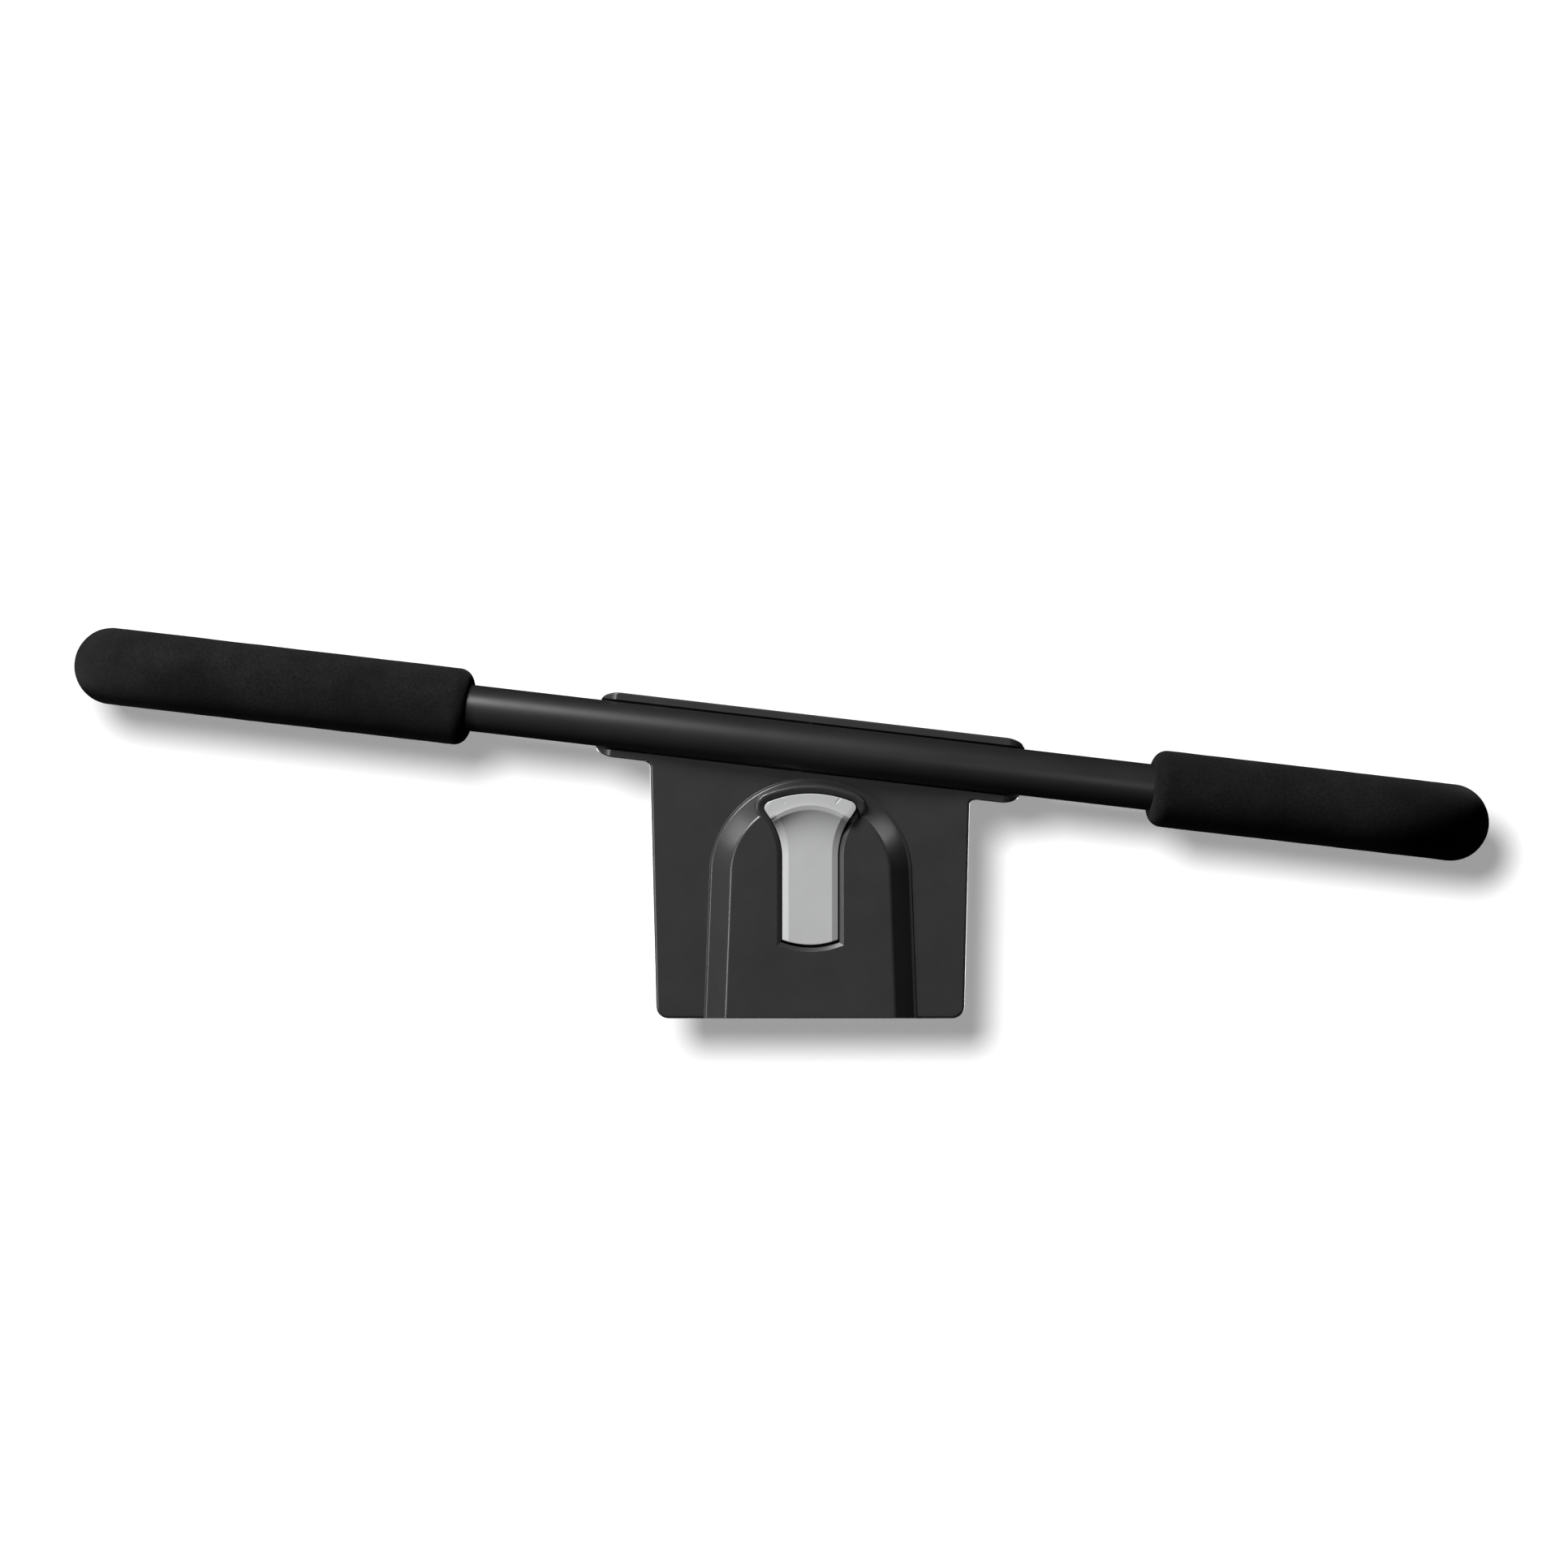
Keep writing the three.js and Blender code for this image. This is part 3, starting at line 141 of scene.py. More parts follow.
def straight(p0, p1, step=3.0):
    """Evenly spaced points of a line, without its last point."""
    p0, p1 = np.asarray(p0, float), np.asarray(p1, float)
    count = max(1, int(round(np.linalg.norm(p1 - p0) / step)))
    t = np.linspace(0, 1, count, endpoint=False)[:, None]
    return p0 + (p1 - p0) * t


def rounded(corners, count=12, step=3.0):
    """Closed outline through corners (point, length before, length after), each of them rounded."""
    arcs = []
    for i, (at, before, after) in enumerate(corners):
        at = np.asarray(at, float)
        last = np.asarray(corners[i - 1][0], float)
        following = np.asarray(corners[(i + 1) % len(corners)][0], float)
        start = at + (last - at) / np.linalg.norm(last - at) * before
        end = at + (following - at) / np.linalg.norm(following - at) * after
        arcs.append((start, start + (at - start) * KAPPA, end + (at - end) * KAPPA, end))
    parts = []
    for i, arc in enumerate(arcs):
        parts.append(bezier(*arc, count=count))
        parts.append(straight(arc[3], arcs[(i + 1) % len(arcs)][0], step))
    return np.vstack(parts)


def grown(outline, amount):
    """A counter-clockwise outline with every point moved outwards by amount."""
    ahead = np.roll(outline, -1, 0) - outline
    behind = outline - np.roll(outline, 1, 0)
    ahead /= np.linalg.norm(ahead, axis=1)[:, None]
    behind /= np.linalg.norm(behind, axis=1)[:, None]
    normals = [np.stack([d[:, 1], -d[:, 0]], 1) for d in (ahead, behind)]
    middle = normals[0] + normals[1]
    middle /= np.linalg.norm(middle, axis=1)[:, None]
    stretch = np.clip((middle * normals[0]).sum(1), 0.5, 1)[:, None]
    return outline + middle * amount / stretch


def from_bar(along, across):
    """A point given along and across the bar, in the front view."""
    return np.array([
        along * math.cos(TILT) + across * math.sin(TILT),
        BAR_HEIGHT - along * math.sin(TILT) + across * math.cos(TILT),
    ])


def bow_depth(along):
    return BOW_RADIUS - math.sqrt(BOW_RADIUS ** 2 - along ** 2)


def plate_half(z):
    share = (z - PLATE_BOTTOM) / (BAR_HEIGHT - PLATE_BOTTOM)
    return PLATE_HALF_BOTTOM + (PLATE_HALF_AT_BAR - PLATE_HALF_BOTTOM) * share


def flange_meeting(side):
    """Where the plate's side meets the flange's lower edge."""
    edge = from_bar(0, -FLANGE_HALF_HEIGHT)
    z = edge[1]
    for _ in range(8):
        z = edge[1] - (side * plate_half(z) - edge[0]) * math.tan(TILT)
    return np.array([side * plate_half(z), z])


def plate_outline():
    """The plate up to the flange, whose lower edge it meets in two fillets."""
    along = np.array([math.cos(TILT), -math.sin(TILT)])
    up = np.array([math.sin(TILT), math.cos(TILT)])
    right, left = flange_meeting(1), flange_meeting(-1)
    outer_right = right + along * INNER_FILLET * 1.02
    outer_left = left - along * INNER_FILLET * 1.02
    return rounded([
        ((-PLATE_HALF_BOTTOM, PLATE_BOTTOM), PLATE_CORNER, PLATE_CORNER),
        ((PLATE_HALF_BOTTOM, PLATE_BOTTOM), PLATE_CORNER, PLATE_CORNER),
        (right, INNER_FILLET, INNER_FILLET),
        (outer_right, 0.03, 0.03),
        (outer_right + up * 12 - along * 6, 0.5, 0.5),
        (outer_left + up * 12 + along * 6, 0.5, 0.5),
        (outer_left, 0.03, 0.03),
        (left, INNER_FILLET, INNER_FILLET),
    ])


def arch_ring(shape, amount, bottom):
    """An arch outline grown by amount and cut off level at the bottom."""
    half_bottom, half_spring, rise = shape
    spread = (half_bottom - half_spring) / (SPRING_Z - PLATE_BOTTOM)
    overrun = 60
    low = PLATE_BOTTOM - overrun
    half_low = half_bottom + spread * overrun
    angles = np.linspace(0, math.pi, 2 * ARCH_HALF_POINTS + 1)
    curve = np.stack([half_spring * np.cos(angles), SPRING_Z + rise * np.sin(angles)], 1)
    outline = grown(np.vstack([[-half_low, low], [half_low, low], curve]), amount)
    low_end, right = outline[1], outline[2:2 + ARCH_HALF_POINTS]
    cut = low_end + (right[0] - low_end) * (bottom - low_end[1]) / (right[0][1] - low_end[1])
    foot = np.array([cut[0], bottom])
    share = np.linspace(0, 1, ARCH_SIDE_ROWS)[:, None]
    side = foot + (right[0] - foot) * share[:-1]
    half = np.vstack([side, right])
    top = outline[2 + ARCH_HALF_POINTS:3 + ARCH_HALF_POINTS]
    mirror = half[::-1] * [-1, 1]
    top[:, 0] = 0
    base = np.linspace(-1, 1, 12)[1:-1, None] * [foot[0], 0] + [0, bottom]
    return np.vstack([half, top, mirror, base])


def lever_side():
    """The lever's right edge, from its foot to the corner of its crown."""
    half = NECK_HALF
    return np.vstack([
        straight((half, LEVER_CORNER_Z), (half, 15), 0.8),
        bezier((half, 15), (half, 25), (21.4, 33.2), (25.2, 39.4), 40),
        straight((25.2, 39.4), (29, 45), 0.5),
        bezier((29, 45), (30.333, 47.133), (29.8, 49.067), (CROWN_HALF, CROWN_EDGE_Z), 24),
        [[CROWN_HALF, CROWN_EDGE_Z]],
    ])


CROWN_RISE = LEVER_TOP - CROWN_EDGE_Z
CROWN_RADIUS = (CROWN_HALF ** 2 + CROWN_RISE ** 2) / (2 * CROWN_RISE)


def crown_z(x):
    return LEVER_TOP - CROWN_RADIUS + np.sqrt(CROWN_RADIUS ** 2 - x ** 2)


def foot_z(x):
    return LEVER_BOTTOM + (LEVER_CORNER_Z - LEVER_BOTTOM) * (x / NECK_HALF) ** 2


def path_length(points):
    """Distance along a line of points, at each of them."""
    step = np.linalg.norm(np.diff(points, axis=0), axis=1)
    return np.concatenate([[0], np.cumsum(step)])


def stretch(points, count):
    """A line of points again, as evenly spaced ones."""
    length = path_length(points)
    at = np.linspace(0, length[-1], count)
    return np.stack([np.interp(at, length, points[:, k]) for k in (0, 1)], 1)


def lever_outline(extra_below=0.0, spacing=1.4):
    """Closed front outline of the lever, its foot lowered by extra_below."""
    side = lever_side()
    right = stretch(side, int(path_length(side)[-1] / spacing))
    right[0, 1] -= extra_below
    top_x = np.linspace(CROWN_HALF, -CROWN_HALF, 41)[1:-1]
    top = np.stack([top_x, crown_z(top_x)], 1)
    foot_x = np.linspace(-NECK_HALF, NECK_HALF, 27)[1:-1]
    foot = np.stack([foot_x, foot_z(foot_x) - extra_below], 1)
    return np.vstack([right, top, right[::-1] * [-1, 1], foot])


# ---------------------------------------------------------------- mesh builders

def mesh_object(name, points, faces, smooth=True):
    mesh = bpy.data.meshes.new(name)
    mesh.from_pydata((np.asarray(points, float) * MM).tolist(), [], [list(f) for f in faces])
    mesh.update()
    work = bmesh.new()
    work.from_mesh(mesh)
    bmesh.ops.recalc_face_normals(work, faces=work.faces)
    work.to_mesh(mesh)
    work.free()
    for polygon in mesh.polygons:
        polygon.use_smooth = smooth
    obj = bpy.data.objects.new(name, mesh)
    scene.collection.objects.link(obj)
    return obj


def loft(name, rings):
    """A closed body through rings of equally many points, capped at both ends."""
    rings = np.asarray(rings, float)
    count, size = rings.shape[:2]
    faces = []
    for r in range(count - 1):
        for i in range(size):
            j = (i + 1) % size
            faces.append((r * size + i, r * size + j, (r + 1) * size + j, (r + 1) * size + i))
    faces.append(tuple(range(size - 1, -1, -1)))
    faces.append(tuple(range((count - 1) * size, count * size)))
    return mesh_object(name, rings.reshape(-1, 3), faces)


def standing(outline, y):
    """A front-view outline as points at depth y."""
    return np.stack([outline[:, 0], np.full(len(outline), y), outline[:, 1]], 1)


def prism(name, outline, profile):
    """A front-view outline lofted through (growth, y) pairs."""
    return loft(name, [standing(grown(outline, amount), y) for amount, y in profile])


def lathe(name, profile, x=0.0, z=0.0, sides=48):
    """A closed body of revolution about the Y direction; the profile runs from axis to axis."""
    angles = np.linspace(0, 2 * math.pi, sides, endpoint=False)
    points = [(x, profile[0][1], z)]
    for r, y in profile[1:-1]:
        points += [(x + r * math.cos(a), y, z + r * math.sin(a)) for a in angles]
    points.append((x, profile[-1][1], z))
    faces = []
    rows = len(profile) - 2
    for i in range(sides):
        j = (i + 1) % sides
        faces.append((0, 1 + i, 1 + j))
        for r in range(rows - 1):
            a, b = 1 + r * sides, 1 + (r + 1) * sides
            faces.append((a + i, b + i, b + j, a + j))
        last = 1 + (rows - 1) * sides
        faces.append((last + j, last + i, len(points) - 1))
    return mesh_object(name, points, faces)


def rod_x(name, radius, low, high, y, z, sides=48):
    angles = np.linspace(0, 2 * math.pi, sides, endpoint=False)
    ring = np.stack([np.zeros(sides), y + radius * np.cos(angles), z + radius * np.sin(angles)], 1)
    return loft(name, [ring + [low, 0, 0], ring + [high, 0, 0]])


def side_slab(name, outline, low, high):
    """A side-view outline of (y, z) points between two X positions, its edges slightly broken."""
    edge = 0.25
    rings = []
    for x, amount in ((low, -edge), (low + edge, 0), (high - edge, 0), (high, -edge)):
        ring = grown(outline, amount)
        rings.append(np.stack([np.full(len(ring), x), ring[:, 0], ring[:, 1]], 1))
    return loft(name, rings)


def combine(obj, other, operation):
    """Applies a boolean to obj and removes the other body."""
    modifier = obj.modifiers.new("combine", "BOOLEAN")
    modifier.operation = operation
    modifier.solver = "MANIFOLD"
    modifier.object = other
    bpy.context.view_layer.update()
    graph = bpy.context.evaluated_depsgraph_get()
    made = bpy.data.meshes.new_from_object(obj.evaluated_get(graph))
    if len(made.polygons) == 0:
        raise RuntimeError(f"{obj.name} {operation} {other.name} left nothing")
    obj.modifiers.clear()
    obj.data = made
    bpy.data.objects.remove(other)
    return obj


def crease(obj, degrees=30.0):
    """Smooth shading with hard edges where faces meet at more than the given angle."""
    work = bmesh.new()
    work.from_mesh(obj.data)
    bmesh.ops.remove_doubles(work, verts=work.verts, dist=2e-6)
    bmesh.ops.dissolve_degenerate(work, edges=work.edges, dist=2e-6)
    limit = math.radians(degrees)
    for face in work.faces:
        face.smooth = True
    for edge in work.edges:
        edge.smooth = len(edge.link_faces) == 2 and edge.calc_face_angle(0) < limit
    work.to_mesh(obj.data)
    work.free()
    weighted = obj.modifiers.new("weighted_normals", "WEIGHTED_NORMAL")
    weighted.keep_sharp = True
    weighted.weight = 80
    return obj


# ---------------------------------------------------------------- materials

def finish_of(
    name, dark, light, cloud, rough, grain, depth,
    metallic=0.0, specular=0.5, speck=0.0, sheen=0.0,
):
    """
    A procedural finish: colour that drifts between two tones over `cloud` millimetres, specks of
    grain, roughness that drifts with another pattern, and a bump `depth` deep whose grain is
    `grain` wide.
    """
    material = bpy.data.materials.new(name)
    material.use_nodes = True
    nodes, links = material.node_tree.nodes, material.node_tree.links
    shader = next(n for n in nodes if n.type == "BSDF_PRINCIPLED")
    where = nodes.new("ShaderNodeTexCoord")

    def pattern(size, detail, roughness, seed):
        texture = nodes.new("ShaderNodeTexNoise")
        texture.noise_dimensions = "4D"
        texture.inputs["W"].default_value = seed
        texture.inputs["Scale"].default_value = 1000.0 / size
        texture.inputs["Detail"].default_value = detail
        texture.inputs["Roughness"].default_value = roughness
        links.new(where.outputs["Object"], texture.inputs["Vector"])
        return texture.outputs["Fac"]

    def spread(value, low, high, to_low, to_high):
        node = nodes.new("ShaderNodeMapRange")
        for key, number in zip(("From Min", "From Max", "To Min", "To Max"), (low, high, to_low, to_high)):
            node.inputs[key].default_value = number
        links.new(value, node.inputs["Value"])
        return node.outputs["Result"]

    clouds = pattern(cloud, 4.0, 0.55, 1.7)
    grains = pattern(grain, 3.0, 0.6, 6.1)
    tone = nodes.new("ShaderNodeMix")
    tone.data_type = "RGBA"
    tone.inputs["A"].default_value = (*dark, 1)
    tone.inputs["B"].default_value = (*light, 1)
    links.new(spread(clouds, 0.3, 0.7, 0.0, 1.0), tone.inputs["Factor"])
    colour = tone.outputs["Result"]
    if speck:
        dots = nodes.new("ShaderNodeMix")
        dots.data_type = "RGBA"
        dots.blend_type = "MULTIPLY"
        dots.inputs["Factor"].default_value = 1.0
        links.new(colour, dots.inputs["A"])
        shade = nodes.new("ShaderNodeCombineColor")
        for channel in ("Red", "Green", "Blue"):
            links.new(spread(grains, 0.3, 0.7, 1 - speck, 1 + speck), shade.inputs[channel])
        links.new(shade.outputs["Color"], dots.inputs["B"])
        colour = dots.outputs["Result"]
    links.new(colour, shader.inputs["Base Color"])
    links.new(spread(pattern(cloud * 0.4, 3.0, 0.5, 3.3), 0.3, 0.7, *rough), shader.inputs["Roughness"])
    bump = nodes.new("ShaderNodeBump")
    bump.inputs["Strength"].default_value = 1.0
    bump.inputs["Distance"].default_value = depth * MM
    links.new(grains, bump.inputs["Height"])
    links.new(bump.outputs["Normal"], shader.inputs["Normal"])
    shader.inputs["Metallic"].default_value = metallic
    shader.inputs["Specular IOR Level"].default_value = specular
    if sheen:
        shader.inputs["Sheen Weight"].default_value = sheen
        shader.inputs["Sheen Roughness"].default_value = 0.5
    return material


FINISH = {
    "tube": finish_of(
        "tube_finish", (0.011,) * 3, (0.0135, 0.0135, 0.014), 60, (0.42, 0.48), 0.9, 0.03,
        specular=0.32,
    ),
    "foam": finish_of(
        "foam_finish", (0.0016,) * 3, (0.0086, 0.0086, 0.0088), 42, (0.85, 1.0), 1.1, 0.5,
        specular=0.15, speck=0.75, sheen=0.03,
    ),
    "moulding": finish_of(
        "moulding_finish", (0.0245,) * 3, (0.029, 0.029, 0.030), 45, (0.28, 0.34), 0.45, 0.02,
        speck=0.10,
    ),
    "lever": finish_of(
        "lever_finish", (0.41, 0.412, 0.415), (0.435, 0.437, 0.44), 22, (0.40, 0.48), 0.4, 0.02,
        speck=0.02,
    ),
    "rubber": finish_of(
        "rubber_finish", (0.018,) * 3, (0.03,) * 3, 18, (0.7, 0.85), 0.6, 0.08, speck=0.2,
    ),
    "nylon": finish_of(
        "nylon_finish", (0.62, 0.60, 0.54), (0.70, 0.68, 0.61), 14, (0.4, 0.55), 0.5, 0.03,
        speck=0.05,
    ),
    "black_steel": finish_of(
        "black_steel_finish", (0.03,) * 3, (0.055, 0.055, 0.058), 25, (0.42, 0.58), 0.5, 0.03,
        speck=0.15,
    ),
    "bright_steel": finish_of(
        "bright_steel_finish", (0.5, 0.5, 0.5), (0.64, 0.65, 0.67), 9, (0.24, 0.38), 0.5, 0.02,
        metallic=1.0, speck=0.06,
    ),
}


def put(obj, body, slot, *nodes):
    """Rides a piece on a body, in its slot's finish, in place of the CAD nodes it stands for."""
    obj.data.materials.clear()
    obj.data.materials.append(FINISH[slot])
    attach(obj, body)
    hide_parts(*nodes)
    return obj


# ---------------------------------------------------------------- the bar

class HalfRoute:
    """Half of the bar's centreline by distance along it: bow, straight, end curl and tail."""

    def __init__(self, side):
        self.side = side
        tail_run = TAIL_LENGTH * math.cos(CURL_ANGLE)
        curl_run = CURL_RADIUS * (math.sin(CURL_ANGLE) - math.sin(BOW_ANGLE))
        self.bow_end = BOW_RADIUS * math.sin(BOW_ANGLE)
        self.curl_start = REACH[side] - FOAM_RADIUS - tail_run - curl_run
        self.lengths = [
            BOW_RADIUS * BOW_ANGLE,
            (self.curl_start - self.bow_end) / math.cos(BOW_ANGLE),
            CURL_RADIUS * (CURL_ANGLE - BOW_ANGLE),
            TAIL_LENGTH,
        ]
        self.total = sum(self.lengths)
        self.grip_start = self.lengths[0] + (FOAM_START - self.bow_end) / math.cos(BOW_ANGLE)

    def at(self, s):
        """Distance along the bar, depth and direction angle, on the positive side."""
        bow, line, curl, _ = self.lengths
        if s <= bow:
            angle = s / BOW_RADIUS
            return BOW_RADIUS * math.sin(angle), BOW_RADIUS * (1 - math.cos(angle)), angle
        x0, y0 = self.bow_end, bow_depth(self.bow_end)
        if s <= bow + line:
            run = s - bow
            return x0 + run * math.cos(BOW_ANGLE), y0 + run * math.sin(BOW_ANGLE), BOW_ANGLE
        x0, y0 = self.curl_start, y0 + line * math.sin(BOW_ANGLE)
        angle = BOW_ANGLE + min(s - bow - line, curl) / CURL_RADIUS
        x = x0 + CURL_RADIUS * (math.sin(angle) - math.sin(BOW_ANGLE))
        y = y0 + CURL_RADIUS * (math.cos(BOW_ANGLE) - math.cos(angle))
        run = max(0.0, s - bow - line - curl)
        return x + run * math.cos(angle), y + run * math.sin(angle), angle

    def ring(self, s, radius, sides):
        """A circle of points round the centreline at a distance along it."""
        x, depth, angle = self.at(s)
        turns = np.linspace(0, 2 * math.pi, sides, endpoint=False)
        across, out = radius * np.cos(turns), radius * np.sin(turns)
        along = self.side * (x - out * math.sin(angle))
        y = BAR_DEPTH + depth + out * math.cos(angle)
        return np.stack([
            along * math.cos(TILT) + across * math.sin(TILT),
            y,
            BAR_HEIGHT - along * math.sin(TILT) + across * math.cos(TILT),
        ], 1)


def wrapped(name, rings):
    """A closed surface through rings that themselves close into a loop."""
    rings = np.asarray(rings, float)
    count, size = rings.shape[:2]
    faces = []
    for r in range(count):
        q = (r + 1) % count
        for i in range(size):
            j = (i + 1) % size
            faces.append((r * size + i, r * size + j, q * size + j, q * size + i))
    return mesh_object(name, rings.reshape(-1, 3), faces)


def tube_piece():
    sides = 96
    stations = []
    for side in (-1, 1):
        route = HalfRoute(side)
        steps = np.concatenate([
            np.linspace(0, route.lengths[0], 45),
            np.linspace(route.lengths[0], route.total, 60)[1:],
        ])
        stations.append([(route, s) for s in steps])
    order = stations[0][::-1] + stations[1][1:]
    outer = [route.ring(s, TUBE_RADIUS, sides) for route, s in order]
    inner = [route.ring(s, TUBE_BORE, sides) for route, s in order[::-1]]
    tube = wrapped("tube_surface", outer + inner)
    for along in TUBE_BOLTS:
        x, z = from_bar(along, 0)
        back = BAR_DEPTH + TUBE_RADIUS + bow_depth(along)
        combine(tube, drill(TUBE_INSERT_HOLE, back - 8, back + 4, x, z), "DIFFERENCE")
    crease(tube, 40)
    return put(tube, "bracket", "tube", "bar_tube")


def grip_piece(side, name):
    """A foam sleeve: rounded mouth, slightly uneven body, domed end, and its bore."""
    route = HalfRoute(side)
    sides = 128
    start, end = route.grip_start, route.total
    stations = [(start, FOAM_BORE), (start, FOAM_BORE + 0.25)]
    for angle in np.linspace(0, math.pi / 2, 15):
        stations.append((
            start + FOAM_ROUND * (1 - math.cos(angle)),
            FOAM_RADIUS - FOAM_ROUND + FOAM_ROUND * math.sin(angle),
        ))
    stations += [(s, FOAM_RADIUS) for s in np.linspace(start + FOAM_ROUND, end, 90)[1:]]
    rings = [route.ring(s, r, sides) for s, r in stations]
    for angle in np.linspace(0, math.pi / 2, 26)[1:-1]:
        s, r = end + FOAM_RADIUS * math.sin(angle), FOAM_RADIUS * math.cos(angle)
        rings.append(route.ring(s, r, sides))
    outside = len(rings)
    bore_end = end + 4.0
    rings += [route.ring(s, FOAM_BORE, sides) for s in np.linspace(bore_end, start, 70)[:-1]]
    points = np.asarray(rings).reshape(-1, 3)
    count = len(rings)
    faces = []
    for r in range(count):
        q = (r + 1) % count
        if r == outside - 1:
            continue
        for i in range(sides):
            j = (i + 1) % sides
            faces.append((r * sides + i, r * sides + j, q * sides + j, q * sides + i))
    poles = [route.ring(end + FOAM_RADIUS, 0.0, 1)[0], route.ring(bore_end, 0.0, 1)[0]]
    for pole, row in ((0, outside - 1), (1, outside)):
        tip_index = count * sides + pole
        for i in range(sides):
            faces.append((row * sides + i, row * sides + (i + 1) % sides, tip_index))
    points = np.vstack([points, poles])
    grip = mesh_object(name, points, faces)
    mesh = grip.data
    for index in range(2 * sides, outside * sides):
        vertex = mesh.vertices[index]
        place = Vector(vertex.co) / MM
        swell = noise.noise(place / 26.0) + 0.5 * noise.noise(place / 9.0 + Vector((7, 3, 1)))
        vertex.co -= vertex.normal * (0.22 + 0.16 * swell) * MM
    crease(grip, 60)
    put(grip, "bracket", "foam", "grip_left" if side < 0 else "grip_right")
    return grip


# ---------------------------------------------------------------- the bracket

def flange_front(along):
    """Depth of the flange's front face, which rolls back towards the ends."""
    roll_start = FLANGE_HALF_LENGTH + 1 - FLANGE_END_ROLL
    reach = max(0.0, abs(along) - roll_start)
    height = math.sqrt(FLANGE_END_ROLL ** 2 - reach ** 2)
    return max(BODY_FRONT, BODY_FRONT - EDGE_ROUND + FLANGE_END_ROLL - height)


def flange_section(along, half, front, inset):
    """The flange cut across the bar: a rectangle with rounded edges, drawn in by inset."""
    r = EDGE_ROUND
    h, f, b = half - inset, front + inset, BODY_BACK - inset
    quarter = [math.radians(d) for d in range(0, 91, 15)]
    points = [(h - r + r * math.sin(q), f + r - r * math.cos(q)) for q in quarter]
    points += [(h - r + r * math.cos(q), b - r + r * math.sin(q)) for q in quarter]
    points += [(-h + r - r * math.sin(q), b - r + r * math.cos(q)) for q in quarter]
    points += [(-h + r - r * math.cos(q), f + r - r * math.sin(q)) for q in quarter]
    placed = []
    for across, y in points:
        x, z = from_bar(along, across)
        placed.append((x, y, z))
    return placed


def flange_body():
    """The flange as sections along the bar: rounded edges, cut corners, and ends rolled back."""
    corner_along, corner_across = FLANGE_CORNER
    long, high = FLANGE_HALF_LENGTH, FLANGE_HALF_HEIGHT
    corner = np.vstack([
        bezier(
            (long - corner_along, high), (long - corner_along * (1 - KAPPA), high),
            (long, high - corner_across * (1 - KAPPA)), (long, high - corner_across), 22,
        ),
        [[long, high - corner_across]],
    ])
    stations = [(a, high) for a in np.linspace(0, long - corner_along, 12)[:-1]] + corner.tolist()
    stations = [(-a, h) for a, h in stations[::-1]][:-1] + stations
    rings = [flange_section(along, half, flange_front(along), 0.0) for along, half in stations]
    half, front = high - corner_across, flange_front(long)
    for way in (-1, 1):
        edge = [
            flange_section(way * (long + 0.18), half, front, 0.25),
            flange_section(way * (long + 0.25), half, front, 0.6),
        ]
        rings = edge[::-1] + rings if way < 0 else rings + edge
    return loft("flange", rings)


def plate_body():
    """The plate, with a soft chamfer round its front and a small one round its back."""
    r = EDGE_ROUND
    front = [
        (0.0, -23.4), (-0.04, -23.75), (-0.14, -24.05), (-0.32, -24.3), (-0.6, -24.49), (-0.95, -24.69),
        (-1.25, -24.85), (-1.5, -24.95), (-1.8, BODY_FRONT),
    ]
    back = [(-r, BODY_BACK), (-r * 0.3, BODY_BACK - r * 0.3), (0, BODY_BACK - r)]
    return prism("plate", plate_outline(), back + front)


def boss_body():
    """The arched boss: rounded shoulder, slope, a small step at its foot."""
    slope = math.atan2(BOSS_DROP, BOSS_RUN)
    radius = 3.0
    tangent = radius * math.tan(slope / 2)
    rings = []

    def ring(amount, y, bottom=0.0):
        rings.append(standing(arch_ring(ARCH, amount, PLATE_BOTTOM + bottom), y))

    for angle in np.linspace(0, slope, 10):
        amount = -tangent + radius * math.sin(angle)
        y = BOSS_FRONT + radius * (1 - math.cos(angle))
        ring(amount, y, max(0.0, 0.8 - (y - BOSS_FRONT) * 2.2))
    for share in (0.35, 0.65, 0.9):
        ring(BOSS_RUN * share, BOSS_FRONT + BOSS_DROP * share)
    ring(11.7, -26.42)
    ring(12.1, -26.1)
    ring(12.5, -25.96)
    ring(13.0, -25.9)
    for angle in np.radians(np.linspace(0, 90, 7)):
        ring(13.45 + 0.35 * math.sin(angle), -25.83 + 0.35 * (1 - math.cos(angle)))
    ring(13.8, -17.0)
    return loft("boss", rings)


def collar_body():
    """The raised collar round the lever's head, which stands proud of the arch."""
    r = 1.5
    rim = [
        (5.8 - r + r * math.sin(q), BOSS_FRONT + r * (1 - math.cos(q)))
        for q in np.radians(np.linspace(0, 84, 8))
    ]
    collar = prism("collar", lever_outline(), rim + [(7.2, -25.0), (7.3, -20.0)])
    keep = loft("keep", [
        standing(arch_ring(ARCH, 11.2, PLATE_BOTTOM + 30), -60.0),
        standing(arch_ring(ARCH, 11.2, PLATE_BOTTOM + 30), -15.0),
    ])
    return combine(collar, keep, "INTERSECT")


def opening_cutter():
    """The lever's opening: a lip and chamfer at the front, then room below for it to swing."""
    outline = lever_outline(EXTRA_BELOW)
    chamfer = [(3.75, -60.0), (3.75, -39.6), (3.55, -39.08), (3.3, -38.94), (3.05, -38.82)]
    chamfer += [(0.95, -37.62), (0.72, -37.44), (0.57, -37.15), (0.5, -36.7), (0.5, -20.0)]
    cutter = prism("opening", outline, chamfer)
    room = lever_outline(EXTRA_BELOW + SWING_ROOM)
    well = prism("well", room, [(OPENING_GAP, -36.6), (OPENING_GAP, -20.0)])
    return combine(cutter, well, "UNION")


